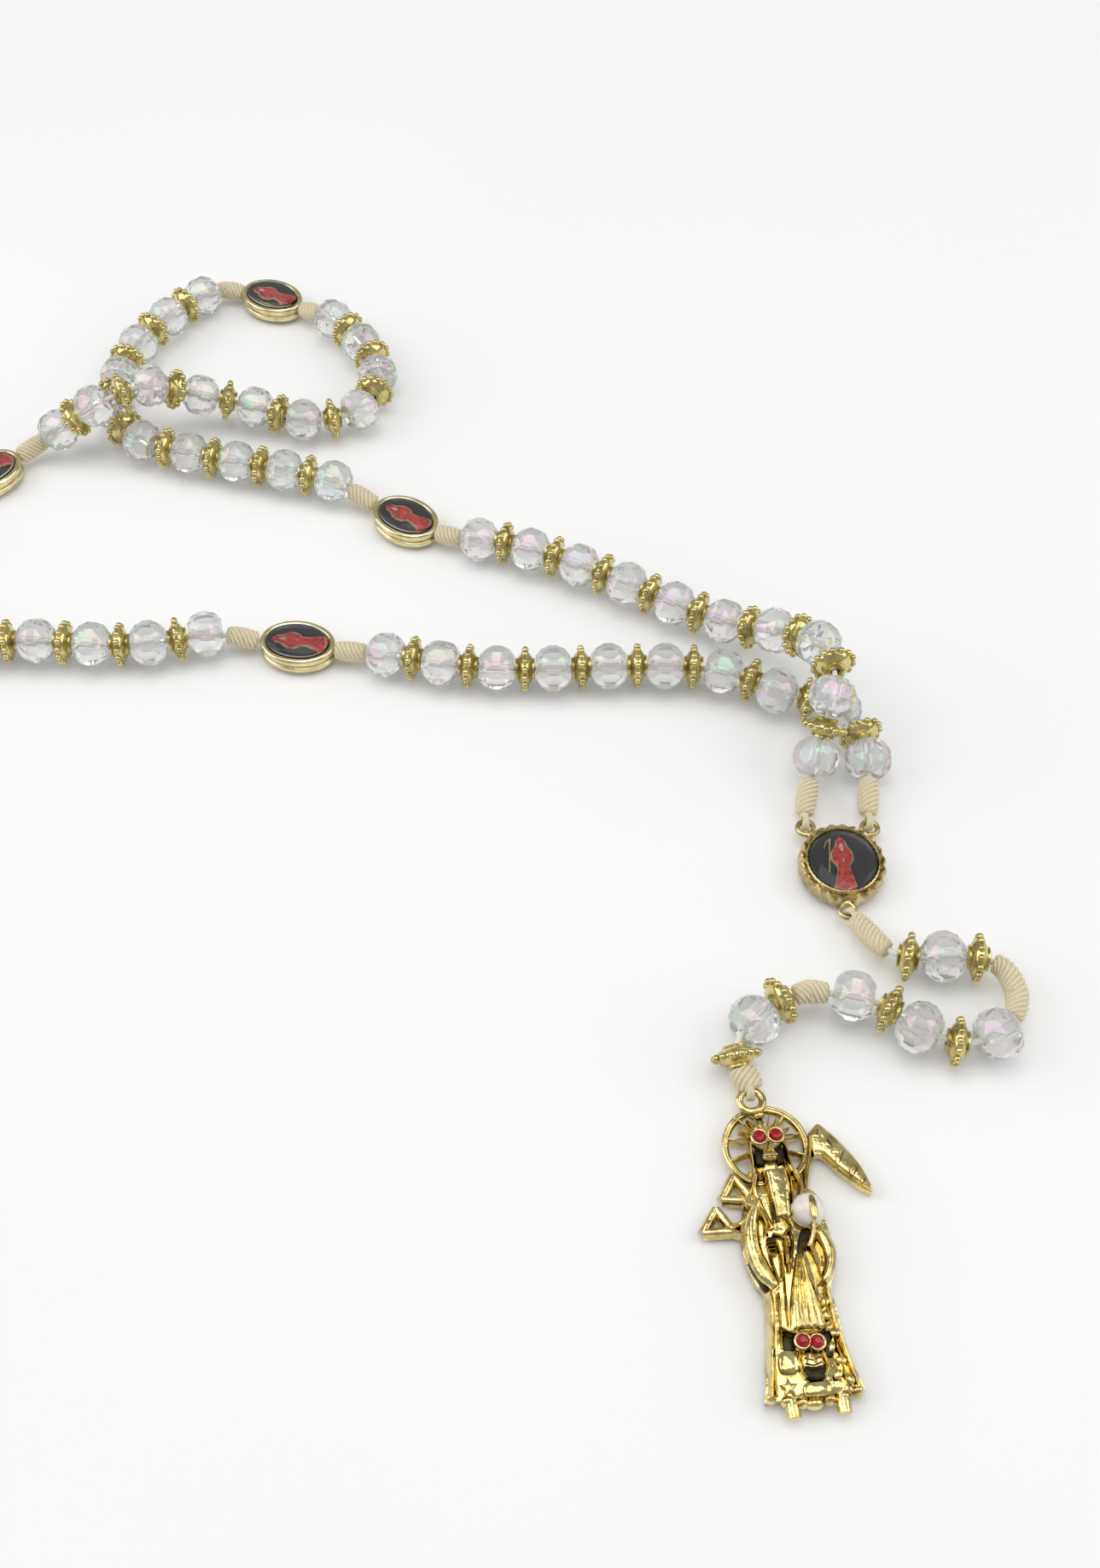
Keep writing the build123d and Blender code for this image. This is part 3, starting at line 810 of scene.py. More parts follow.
@dataclass
class ThreadWrap:
    """Thread wound round a stretch of cord.

    Args:
        line: points of the cord's middle.
        start: distance along it where the winding starts, in metres.
        end: where it ends.
        radius: outer radius.
        pitch: advance of one turn.
        depth: of the grooves between strands.
        strands: threads laid side by side.
        taper: radius at the ends, as a share of the radius.
        nose: length over which each end closes onto the cord.
        nose_share: how far it closes, as a share of the radius.
        sides: points round it.
        rows_per_turn: sections in each turn of the thread.
    """

    line: Array
    start: float
    end: float
    radius: float = 1.85 * MM
    pitch: float = 0.86 * MM
    depth: float = 0.45 * MM
    strands: int = 7
    taper: float = 0.78
    nose: float = 0.4 * MM
    nose_share: float = 0.55
    sides: int = 56
    rows_per_turn: int = 9

    def shape(self) -> Surface:
        """Return the winding.

        At distance s and angle a the phase is s / pitch + strands * a / full turn, so the strands
        run slantwise; the radius falls by depth * (1 - |sin(pi * phase)|)^1.5 between strands. The
        whole swells like a spindle: its radius is taper at the ends and 1 in the middle.
        """
        distance = distances(self.line)
        rows = max(14, int((self.end - self.start) / self.pitch * self.rows_per_turn))
        place = np.linspace(self.start, self.end, rows)
        middle = np.stack([np.interp(place, distance, self.line[:, axis]) for axis in range(3)], -1)
        along = np.gradient(middle, axis=0)
        along /= np.linalg.norm(along, axis=1, keepdims=True)
        side = np.cross(along, UP)
        side /= np.linalg.norm(side, axis=1, keepdims=True)
        top = np.cross(side, along)
        angle = np.arange(self.sides) / self.sides * FULL_TURN
        phase = place[:, None] / self.pitch + self.strands * angle / FULL_TURN
        groove = (1 - np.abs(np.sin(math.pi * phase))) ** 1.5
        share = np.linspace(0, 1, rows)[:, None]
        spindle = self.taper + (1 - self.taper) * np.sin(math.pi * share) ** 0.6
        inset = np.minimum(place - self.start, self.end - place)[:, None] / self.nose
        close = self.nose_share + (1 - self.nose_share) * np.sqrt(1 - (1 - np.minimum(inset, 1)) ** 2)
        radius = (self.radius * spindle - self.depth * groove) * close
        spoke = side[:, None] * np.cos(angle)[:, None] + top[:, None] * np.sin(angle)[:, None]
        return grid(middle[:, None] + spoke * radius[..., None])


def span_on_line(line: Array, points: Array) -> tuple[float, float]:
    """Return the first and last distance along a line that a set of points lies beside."""
    distance = distances(line)
    steps = np.diff(distance)
    ahead = line[1:] - line[:-1]
    length2 = (ahead**2).sum(1)
    offset = points[:, None] - line[None, :-1]
    share = np.clip((offset * ahead).sum(-1) / length2, 0, 1)
    foot = line[None, :-1] + share[..., None] * ahead
    nearest = np.linalg.norm(points[:, None] - foot, axis=-1).argmin(1)
    rows = np.arange(len(points))
    reach = distance[nearest] + share[rows, nearest] * steps[nearest]
    return float(reach.min()), float(reach.max())


def panel(left: Array, right: Array, base: float, wall: float, crown: float, folds: float = 0.0,
          fold_rise: float = 0.0, sides: int = 13, power: float = 2.5) -> Surface:
    """Return a padded strip between two edge lines.

    Across it, from t = -1 to 1, its top stands at base + wall + crown * (1 - |t|^power), plus
    fold_rise * cos(folds * pi * t) * (1 - t^4). Both fall off towards the strip's two ends.

    Args:
        left: rows of x, y of one edge.
        right: rows of x, y of the other.
        base: height of its flat back.
        wall: height of its upright sides.
        crown: rise of the middle.
        folds: half waves across it.
        fold_rise: height of those waves.
        sides: points across the top.
        power: how square the section is.
    """
    across = np.linspace(-1, 1, sides)
    share = ((across + 1) / 2)[None, :, None]
    top = left[:, None] * (1 - share) + right[:, None] * share
    arc = crown * (1 - np.abs(across) ** power)
    arc += fold_rise * np.cos(folds * math.pi * across) * (1 - across**4)
    ends = np.sin(np.linspace(0, math.pi, len(left)))[:, None] ** 0.25
    top_z = base + wall + arc[None, :] * (PANEL_END_CROWN + (1 - PANEL_END_CROWN) * ends)
    outline = np.concatenate([left[:, None], top, right[:, None]], 1)
    foot = np.full((len(left), 1), base)
    height = np.concatenate([foot, top_z, foot], 1)
    return outward(grid(np.concatenate([outline, height[..., None]], -1)))


def outward(surface: Surface) -> Surface:
    """Return the surface with its faces turned outwards: its signed volume is made positive."""
    p = surface.points
    volume = 0.0
    for faces in (surface.tris, surface.quads[:, [0, 1, 2]], surface.quads[:, [0, 2, 3]]):
        if len(faces):
            volume += np.einsum("ij,ij->", p[faces[:, 0]], np.cross(p[faces[:, 1]], p[faces[:, 2]]))
    if volume >= 0:
        return surface
    return Surface(p, surface.quads[:, ::-1], surface.tris[:, ::-1])


def oval_ring(profile: Array, half_x: float, half_y: float, columns: int, lobes: int = 0,
              lobe: float = 0.0, twist: float = 0.0) -> Surface:
    """Return a profile carried round an oval, closed at its two ends.

    A point at angle a is (half_x - i) cos a, (half_y - i) sin a, h, where the inset i also gains
    lobe * cos(lobes * a + twist * h).

    Args:
        profile: rows of inset and height.
        half_x: half the oval's length along X.
        half_y: half its length along Y.
        columns: points round it.
        lobes: waves round it.
        lobe: height of a wave.
        twist: turn of the waves for each metre of height, in radians.
    """
    angle = np.arange(columns) / columns * FULL_TURN
    inset, height = profile[:, :1], profile[:, 1:]
    inset = inset + lobe * np.cos(lobes * angle + twist * height)
    x, y = (half_x - inset) * np.cos(angle), (half_y - inset) * np.sin(angle)
    return outward(grid(np.stack([x, y, np.broadcast_to(height, x.shape)], -1)))


# --------------------------------------------------------------------------- medals
GROUND_THICK = 0.25 * MM
DOME_SEAT = 0.62 * MM
DOME_WALL = 0.12 * MM
DOME_GAP = 0.05 * MM


@dataclass
class RobedFigure:
    """A small standing figure in a red mantle, in relief.

    Args:
        scale: half the picture's long way; the outlines below are in this unit.
        slimness: its width, as a share of what the outlines give.
        line_half: half the width of a gilt line, in the same unit.
    """

    scale: float
    slimness: float = 0.62
    line_half: float = 0.022

    def strips(self, lines: list[Array], half: float, base: float, rise: float, sides: int) -> list[Surface]:
        """Return a raised strip along each line, half its width given in units."""
        return [outward(ridge(line, half * self.scale, base, rise, sides)) for line in lines]

    def parts(self, base: float, blade: bool) -> list[tuple[str, Look, Surface]]:
        """Return the figure's pieces, with +Y towards the head.

        Args:
            base: height of their backs.
            blade: whether the figure holds a scythe.

        Returns:
            Name, finish and surface of each.
        """
        unit = self.scale * np.array([self.slimness, 1.0])
        mantle = [(-0.44, -0.84), (0.05, -0.92), (0.5, -0.8), (0.38, -0.45), (0.26, -0.2), (0.46, 0.04),
                  (0.44, 0.3), (0.24, 0.5), (0.16, 0.7), (-0.02, 0.8), (-0.2, 0.68), (-0.26, 0.5),
                  (-0.48, 0.27), (-0.46, 0.0), (-0.24, -0.22), (-0.34, -0.5)]
        creases = [flowing([(x, 0.25), (1.1 * x, -0.2), (2.1 * x, -0.74)], 14) * unit
                   for x in (-0.16, -0.02, 0.13)]
        face = rounded([(0.1, 0.46), (0.0, 0.6), (-0.1, 0.46), (-0.04, 0.32), (0.04, 0.32)], 24) * unit
        hand = rounded([(0.1, 0.02), (0.02, 0.1), (-0.08, 0.04), (0.0, -0.05)], 20) * unit
        skin = [pillow(face, base, 0.17 * MM, 0.12 * MM, 4), pillow(hand, base, 0.2 * MM, 0.08 * MM, 4)]
        hems = [
            ([(-0.2, 0.68), (-0.26, 0.5), (-0.46, 0.26), (-0.44, 0.0), (-0.24, -0.22), (-0.42, -0.8)], 30),
            ([(0.16, 0.68), (0.24, 0.5), (0.44, 0.28), (0.44, 0.04), (0.26, -0.2), (0.48, -0.76)], 30),
            ([(-0.5, -0.8), (0.0, -0.88), (0.5, -0.78)], 24),
        ]
        edges = [flowing(corners, count) * unit for corners, count in hems]
        gilt = self.strips(edges, self.line_half, base, 0.2 * MM, 5)
        if blade:
            scythe = [flowing([(-0.62, -0.35), (-0.46, 0.75)], 10) * unit,
                      flowing([(-0.47, 0.7), (-0.62, 0.66), (-0.76, 0.42)], 12) * unit]
            gilt += self.strips(scythe, self.line_half, base, 0.12 * MM, 5)
        return [
            ("mantle", Look.RED, pillow(rounded(mantle, 72) * unit, base, 0.05 * MM, 0.2 * MM)),
            ("mantle_folds", Look.RED, joined(self.strips(creases, 0.045, base, 0.3 * MM, 9))),
            ("face", Look.FLESH, joined([outward(part) for part in skin])),
            ("gilt_lines", Look.GILT, joined(gilt)),
        ]


@dataclass
class Medal:
    """What a framed oval picture shares: ground, figure and dome, each riding its body.

    Args:
        name: the start of its CAD nodes' names.
        body: what it rides on.
        half_x: half the picture's length along local X.
        half_y: half its length along local Y.
        ground: height of the black ground's back.
        head: direction of the figure's head in local XY.
        rise: of the dome above its wall.
        blade: whether the figure holds a scythe.
    """

    name: str
    body: str
    half_x: float
    half_y: float
    ground: float
    head: tuple[float, float]
    rise: float = 1.0 * MM
    blade: bool = False

    def seat(self, nodes: Nodes) -> Array:
        """Return the medal's frame: its ground's middle, and the picture's long way as local X."""
        points = np.vstack(node_pieces(nodes[f"{self.name}_picture"]))
        middle = (points.max(0) + points.min(0)) / 2
        spread, directions = np.linalg.eigh(np.cov((points - middle)[:, :2].T))
        along = directions[:, 1] if self.half_x > self.half_y else directions[:, 0]
        along = along if along[0] > 0 else -along
        frame = np.eye(4)
        frame[:2, 0], frame[:2, 1] = along, (-along[1], along[0])
        frame[:2, 3] = middle[:2]
        return frame

    def build_picture(self, frame: Array) -> None:
        """Place the black ground and the figure on it."""
        face = self.ground + GROUND_THICK
        ground = oval_ring(np.array([(0.0, self.ground), (0.0, face)]), self.half_x, self.half_y, 64)
        piece = ground.moved(frame).to_object(f"{self.name}_ground", dressed(Look.BLACK), GROUND_CREASE)
        place_piece(piece, self.body, (f"{self.name}_picture",), "picture_enamel")
        up = frame_at(np.zeros(3), UP, np.array([self.head[1], -self.head[0], 0.0]))
        figure = RobedFigure(max(self.half_x, self.half_y))
        for name, look, surface in figure.parts(face, self.blade):
            piece = outward(surface).moved(frame @ up).to_object(f"{self.name}_{name}", dressed(look))
            place_piece(piece, self.body, (), "picture_enamel")

    def build_dome(self, frame: Array) -> None:
        """Place the clear dome: height = wall + rise * sqrt(1 - r^2) over its oval, r from 0 to 1."""
        angle = np.arange(72) / 72 * FULL_TURN
        half = np.array([self.half_x, self.half_y]) - DOME_GAP
        edge = np.stack([np.cos(angle), np.sin(angle)], -1) * half
        dome = outward(pillow(edge, self.ground + DOME_SEAT, DOME_WALL, self.rise, 12))
        piece = dome.moved(frame).to_object(f"{self.name}_lens", dressed(Look.DOME), RIM_CREASE)
        place_piece(piece, self.body, (f"{self.name}_dome",), "clear_dome")


@dataclass
class MedalBead(Medal):
    """An oval bead in the cord with a grooved rim.

    Args:
        length: along the cord.
        width: across the cord.
        thick: height of the rim.
    """

    length: float = 13.5 * MM
    width: float = 10.0 * MM
    thick: float = 3.0 * MM

    def build(self, nodes: Nodes) -> None:
        """Place the rim, the picture and the dome."""
        frame = self.seat(nodes)
        t = self.thick
        rows = [(1.4 * MM, 0.0), (0.5 * MM, 0.0), (0.16 * MM, 0.1 * MM), (0.0, 0.36 * MM), (0.0, 0.33 * t),
                (0.1 * MM, 0.37 * t), (0.42 * MM, 0.4 * t), (0.42 * MM, 0.56 * t), (0.1 * MM, 0.6 * t),
                (0.0, 0.64 * t), (0.0, 0.86 * t), (0.14 * MM, 0.95 * t), (0.42 * MM, t), (0.72 * MM, t),
                (0.98 * MM, 0.96 * t), (1.12 * MM, 0.88 * t), (1.16 * MM, 0.8 * t)]
        rim = oval_ring(np.array(rows), self.length / 2, self.width / 2, 96)
        piece = rim.moved(frame).to_object(f"{self.name}_rim", dressed(Look.BEZEL), RIM_CREASE)
        place_piece(piece, self.body, (f"{self.name}_frame",), "polished_gold")
        self.build_picture(frame)
        self.build_dome(frame)


@dataclass
class CentreMedal(Medal):
    """The medal that joins the loop and the tail: a roped, scalloped rim with three eyes.

    Args:
        width: of the rim, along X.
        height: of the rim, along Y.
        thick: height of the rim.
        scallops: round the rim.
        scallop_depth: how far they stand in and out.
        rope_twist: turn of the scallops up the rim, in radians per metre.
        eyes: middles of the eyes, in millimetres.
        eye_height: height of the eyes' middles.
        neck_share: where each eye's neck is, as a share of the eye's distance from the middle.
    """

    width: float = 13.9 * MM
    height: float = 14.7 * MM
    thick: float = 3.2 * MM
    scallops: int = 22
    scallop_depth: float = 0.17 * MM
    rope_twist: float = 700.0
    eyes: tuple[tuple[float, float], ...] = ((-5.2, 7.2), (5.2, 7.2), (0.0, -8.7))
    eye_height: float = 1.7 * MM
    neck_share: float = 0.815

    def build(self, nodes: Nodes) -> None:
        """Place the rim, the eyes, the picture and the dome."""
        t = self.thick
        turn = np.linspace(1.35, -1.5, 15)
        roll = np.stack([0.62 * MM * (1 - np.cos(turn)), 0.5 * t + 0.48 * t * np.sin(turn)], -1)[::-1]
        roll = np.vstack([[(1.3 * MM, 0.05 * MM)], roll, [(1.3 * MM, 0.7 * t)]])
        rope = oval_ring(roll, self.width / 2, self.height / 2, 12 * self.scallops, self.scallops,
                         self.scallop_depth, self.rope_twist)
        step = np.array([(1.25 * MM, 0.0), (0.95 * MM, 0.96 * t), (1.05 * MM, 1.04 * t),
                         (1.25 * MM, 1.06 * t), (1.42 * MM, t), (1.5 * MM, 0.7 * t)])
        bezel = oval_ring(step, self.width / 2, self.height / 2, 6 * self.scallops, 2 * self.scallops,
                          0.04 * MM)
        solid = [rope, bezel]
        for x, y in self.eyes:
            spot = np.eye(4)
            spot[:3, 3] = (x * MM, y * MM, self.eye_height)
            solid.append(torus(1.3 * MM, 0.45 * MM).moved(spot))
            neck = ball(0.95 * MM, 16, 9)
            neck.points = neck.points * [1.0, 1.0, 0.7]
            spot = spot.copy()
            spot[:2, 3] = (x * MM * self.neck_share, y * MM * self.neck_share)
            solid.append(neck.moved(spot))
        piece = joined(solid).to_object(f"{self.name}_rope_rim", dressed(Look.ANTIQUE), ROPE_CREASE)
        place_piece(piece, self.body, (f"{self.name}_frame",), "antique_gold")
        self.build_picture(np.eye(4))
        self.build_dome(np.eye(4))


# --------------------------------------------------------------------------- strands
@dataclass
class Strand:
    """One stretch of cord with its wraps and beads.

    Args:
        route: the stretch's route.
        core: the CAD node of its cord.
        declared: the cord's real length in metres, or nothing for a short stretch.
        wraps: CAD nodes of the wraps on it.
        loop_at: where a cord loop holds a ring: x, y, z and heading x, y, in millimetres.
        wrap_radius: outer radius of the wraps.
        tuck: how far the first wrap stays from a loop.
        reach: length added to the cord's end, for a wrap that runs on past it.
    """

    route: Route
    core: str
    wraps: tuple[str, ...]
    declared: float = 0.0
    loop_at: tuple[float, float, float, float, float] | None = None
    wrap_radius: float = 1.85 * MM
    tuck: float = 0.5 * MM
    reach: float = 0.0

    def build(self, nodes: Nodes) -> None:
        """Lay the cord and wind its wraps."""
        cord = self.route.curve(CORD_DIAMETER)
        cord.data.materials.append(dressed(Look.CORD))
        place_piece(cord, self.route.body, (self.core,), "ivory_cord")
        if self.declared:
            first = np.array(self.route.points[0]) * MM
        line = self.route.line()
        if self.reach:
            ahead = line[-1] - line[-2]
            line = np.vstack([line, line[-1] + ahead / np.linalg.norm(ahead) * self.reach])
        for name in self.wraps:
            solid = []
            for points in node_pieces(nodes[name]):
                start, end = span_on_line(line, points)
                start = max(start - self.reach / 2, self.tuck if self.loop_at and not self.reach else 0.0)
                solid.append(outward(ThreadWrap(line, start, end, self.wrap_radius).shape()))
            if self.loop_at and name == self.wraps[0]:
                solid += self.loops(np.array(self.loop_at))
            piece = joined(solid).to_object(f"{name}_winding", dressed(Look.THREAD), THREAD_CREASE)
            place_piece(piece, self.route.body, (name,), "ivory_thread")

    def loops(self, place: Array) -> list[Surface]:
        """Return two turns of cord through a ring, leaning apart, from the row that loop_at holds."""
        toward = np.append(place[3:], 0.0)
        axis = np.cross(toward, UP)
        return [torus(1.2 * MM, 0.4 * MM).moved(frame_at(place[:3] * MM, axis + lean * toward))
                for lean in (-0.22, 0.22)]


@dataclass
class JointWrap:
    """One winding across the meeting point of two stretches of the tail.

    Args:
        name: the piece's name.
        upper: the stretch before the bend.
        lower: the stretch after it.
        nodes: the CAD nodes of its two halves.
        bend: not used.
    """

    name: str
    upper: Route
    lower: Route
    nodes: tuple[str, str]
    bend: float = 2 * MM

    def build(self, nodes: Nodes) -> None:
        """Wind it along both routes, across their meeting point."""
        first, second = self.upper.line(), self.lower.line()
        line = np.vstack([first, second[1:]])
        start, _ = span_on_line(line, np.vstack(node_pieces(nodes[self.nodes[0]])))
        _, end = span_on_line(line, np.vstack(node_pieces(nodes[self.nodes[1]])))
        winding = outward(ThreadWrap(line, start, end).shape())
        piece = winding.to_object(self.name, dressed(Look.THREAD), THREAD_CREASE)
        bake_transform(piece)
        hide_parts(*self.nodes)


# --------------------------------------------------------------------------- pendant
def bars(rows: list[tuple[Corners, float, float]], base: float, count: int = 30) -> list[Surface]:
    """Return a raised strip for each row.

    Args:
        rows: the corners of the strip's line, half its width and the height of its top.
        base: height of every strip's back.
        count: points along each line.
    """
    return [ridge(flowing(corners, count), half, base, top - base) for corners, half, top in rows]


def pads(rows: list[tuple[Corners, float, float]], count: int, crown: float, rings: int) -> list[Surface]:
    """Return a pad for each row.

    Args:
        rows: the corners of the pad's outline, anticlockwise, the height of its back and of its wall.
        count: points round each outline.
        crown: rise of every pad's top above its wall.
        rings: sections of the crown.
    """
    return [pillow(rounded(corners, count), base, wall, crown, rings) for corners, base, wall in rows]


def egg(spot: Spot, sizes: Spot, columns: int = 16, rows: int = 9) -> Surface:
    """Return an ellipsoid from its middle and its three half sizes."""
    surface = ball(1.0, columns, rows)
    surface.points = surface.points * sizes
    return surface.moved(frame_at(np.array(spot), UP))


@dataclass
class Pendant:
    """A cast robed figure with a pierced halo, a blade and scales.

    Sizes are in millimetres in the figure's own frame, whose origin is the bail's middle moved by shift.

    Args:
        bail: x and y of the bail's middle in the part's frame.
        lean: turn of the figure about Z, in degrees.
        shift: from the bail's middle to the figure's origin.
        bail_height: height of the bail's middle.
        halo_centre: middle of the halo.
        halo_radius: to the middle of its rim.
        spokes: bars between the skull and the rim.
        rays: short rays above the skull.
        eyes: middles of the skull's eyes.
        owl_eyes: middles of the owl's eyes.
        cup_height: height of the rings round the eyes.
        stone_height: height of the stones.
        pearl_spot: middle of the pearl.
        pearl_radius: its radius.
        body: what everything rides on.
    """

    bail: tuple[float, float] = (-17.5, -41.8)
    lean: float = 5.2
    shift: tuple[float, float] = (0.88, -0.28)
    bail_height: float = 2.0
    halo_centre: tuple[float, float] = (0.22, -6.62)
    halo_radius: float = 5.75
    spokes: int = 10
    rays: int = 11
    eyes: tuple[tuple[float, float], ...] = ((-0.9, -6.2), (1.5, -6.1))
    owl_eyes: tuple[tuple[float, float], ...] = ((0.1, -35.8), (2.0, -36.1))
    cup_height: float = 3.75
    stone_height: float = 3.95
    pearl_spot: Spot = (4.12, -17.52, 3.2)
    pearl_radius: float = 2.4
    body: str = "pendant"

    def frame(self) -> Array:
        """Return the figure's frame, which also turns millimetres into metres."""
        frame = turned(math.radians(self.lean))
        shift = frame[:2, :2] @ np.array(self.shift)
        frame[:2, 3] = (np.array(self.bail) + shift) * MM
        frame[:3, :3] *= MM
        return frame

    def spot(self, x: float, y: float, z: float, axis: Spot = (0, 0, 1)) -> Array:
        """Return a frame at a point of the figure."""
        return frame_at(np.array([x, y, z]), np.array(axis, float))

    def eye_cups(self, eyes: tuple[tuple[float, float], ...], radius: float) -> list[Surface]:
        """Return a ring round each eye."""
        return [torus(radius, 0.24, 24, 8).moved(self.spot(x, y, self.cup_height)) for x, y in eyes]

    def spray(self, turns: Array, lift: float, reach: tuple[float, float], half: tuple[float, float],
              base: float, height: Array) -> list[Surface]:
        """Return bars that run outwards from the halo's middle.

        Args:
            turns: the direction of each, in radians.
            lift: how far above the halo's middle they start from.
            reach: their first and last distance from there.
            half: half their width at each end.
            base: height of their backs.
            height: rise of their middles, for the whole bar or point by point.
        """
        middle = np.array(self.halo_centre) + [0.0, lift]
        found = []
        for turn in turns:
            way = np.array([math.cos(turn), math.sin(turn)])
            line = middle + way * np.linspace(*reach, 12)[:, None]
            found.append(ridge(line, np.linspace(*half, 12), base, height))
        return found

    def robe(self) -> list[Surface]:
        """Return the body, its skirts, apron, flakes and the arch above the owl."""
        left = flowing([(-2.6, -12.6), (-4.3, -15), (-5.4, -19.1), (-5.5, -22.9), (-4.5, -26.7),
                        (-3.4, -28.9), (-3.6, -31.5), (-4.7, -37.6), (-5.9, -42.7)], 60)
        right = flowing([(3.6, -12.6), (6.2, -14.8), (6.6, -18.2), (7.0, -22.5), (6.7, -25.6),
                         (5.6, -28.2), (5.8, -30.7), (6.3, -36.9), (7.6, -42.3)], 60)
        found = [panel(left, right, 0.0, 1.5, 0.9)]
        skirts = [
            ([(-2.9, -28.4), (-3.3, -33.0), (-5.0, -42.4)], 0.75, 2.9),
            ([(-1.8, -28.6), (-2.1, -32.0), (-2.6, -36.0)], 0.4, 3.0),
            ([(4.9, -28.2), (5.2, -33.4), (6.7, -42.0)], 0.8, 2.9),
            ([(4.2, -29.4), (4.6, -34.6), (5.2, -41.6)], 0.42, 3.2),
            ([(-0.6, -25.4), (-0.9, -29.0), (-1.3, -33.4)], 0.36, 3.4),
            ([(-3.9, -37.4), (-4.1, -40.0), (-4.3, -42.2)], 0.35, 3.2),
        ]
        ripple = 1 + 0.1 * np.sin(np.linspace(0, 19, 40))
        swell = 0.97 + 0.05 * np.sin(np.linspace(0, 11, 40))
        found += [ridge(flowing(corners, 40), half * ripple, 0.3, (top - 0.3) * swell)
                  for corners, half, top in skirts]
        apron_left = flowing([(1.4, -23.6), (0.2, -27.4), (-0.6, -30.6), (-1.1, -34.0)], 40)
        apron_right = flowing([(2.3, -23.6), (2.9, -27.4), (3.4, -30.6), (3.8, -34.2)], 40)
        found.append(panel(apron_left, apron_right, 1.6, 1.5, 0.8, 5.0, 0.22, 25))
        flake = rounded([(0.6, 0.0), (0.1, 0.7), (-0.5, 0.3), (-0.3, -0.5), (0.3, -0.7)], 20)
        flakes = [(4.1, -32.2), (4.7, -34.8), (4.0, -36.6), (5.0, -38.4), (4.2, -40.2), (5.6, -41.0),
                  (3.9, -34.0), (4.3, -30.4)]
        found += [pillow(flake, 0.0, 0.2, 0.32, 4).moved(self.spot(x, y, 2.5) @ turned(number * 1.3))
                  for number, (x, y) in enumerate(flakes)]
        arch = flowing([(-2.5, -33.4), (-1.3, -34.4), (0.7, -34.9), (2.7, -34.6), (3.9, -33.8)], 30)
        found.append(ridge(arch, 0.34, 1.4, 2.5))
        return found

    def arms(self) -> list[Surface]:
        """Return the sleeves with their folds, the fingers, the chest band and the lapels."""
        outer = flowing([(-2.9, -14.6), (-5.0, -18.6), (-5.4, -22.6), (-4.4, -26.2), (-2.6, -28.4)], 44)
        inner = flowing([(-1.9, -15.6), (-2.9, -18.6), (-3.1, -22.0), (-2.5, -24.6), (-1.5, -27.6)], 44)
        found = [panel(outer, inner, 1.2, 1.7, 0.9)]
        outer = flowing([(5.4, -19.6), (6.7, -21.6), (7.0, -24.0), (6.2, -26.6), (5.0, -28.0)], 44)
        inner = flowing([(4.4, -20.6), (5.0, -22.6), (5.2, -24.4), (4.7, -26.0), (4.0, -27.6)], 44)
        found.append(panel(inner, outer, 1.2, 1.6, 0.9))
        found += bars([
            ([(-1.0, -21.4), (-0.7, -24.0), (-1.0, -26.8)], 0.42, 3.7),
            ([(-2.1, -22.6), (-1.9, -25.0), (-1.5, -27.2)], 0.36, 3.5),
            ([(-3.6, -20.0), (-3.6, -23.6), (-2.5, -27.0)], 0.3, 4.1),
            ([(3.4, -22.4), (3.9, -25.0), (4.3, -27.6)], 0.4, 3.8),
            ([(2.7, -22.0), (2.4, -23.6), (1.6, -25.6)], 0.34, 3.7),
            ([(-1.3, -20.4), (0.4, -21.6), (0.1, -26.0)], 0.5, 3.5),
            ([(1.2, -19.6), (1.2, -22.0), (0.4, -25.4)], 0.42, 3.4),
            ([(-4.4, -15.8), (-3.0, -16.6), (-2.0, -18.6), (-2.2, -20.6)], 0.5, 3.9),
        ], 1.2)
        fingers = [[(-2.5 + 0.1 * k, -21.9 - 0.5 * k), (-1.2, -21.8 - 0.5 * k)] for k in range(4)]
        found += [ridge(flowing(finger, 12), 0.24, 1.6, 2.3) for finger in fingers]
        band_left = flowing([(-0.9, -11.2), (-0.8, -14.0), (-0.5, -18.2)], 30)
        band_right = flowing([(2.1, -11.2), (2.2, -14.0), (1.6, -18.2)], 30)
        found.append(panel(band_left, band_right, 1.2, 2.4, 0.35, power=4.0))
        for edge, offset in ((band_left, -0.25), (band_right, 0.25)):
            found.append(ridge(edge + [offset, 0.0], 0.24, 1.2, 3.0))
        return found + bars([
            ([(-2.2, -11.6), (-2.6, -14.4), (-1.2, -19.4)], 0.7, 3.3),
            ([(3.6, -11.4), (3.9, -13.8), (3.0, -16.6)], 0.7, 3.2),
            ([(0.5, -18.0), (1.3, -19.6), (0.3, -21.0), (0.0, -25.0)], 0.5, 3.7),
        ], 1.0)

    def halo(self) -> list[Surface]:
        """Return the pierced halo: rim, bead edge, spokes and short rays above the skull."""
        x, y = self.halo_centre
        turn = np.arange(12) / 12 * FULL_TURN
        wall = np.stack([self.halo_radius + 0.5 * np.cos(turn), 0.75 + 0.75 * np.sin(turn)], -1)
        rim = ring_lathe(wall, 72).moved(self.spot(x, y, 0.0))
        edge = torus(self.halo_radius + 0.3, 0.28, 72, 8).moved(self.spot(x, y, 1.35))
        spokes = (np.arange(self.spokes) + 0.5) / self.spokes * FULL_TURN
        rays = np.radians(np.linspace(8, 172, self.rays))
        return [rim, edge, *self.spray(spokes, 0.0, (2.0, self.halo_radius), (0.22, 0.5), 0.3, 1.2),
                *self.spray(rays, 0.6, (1.9, 4.1), (0.24, 0.1), 0.9, np.linspace(2.1, 1.3, 12))]

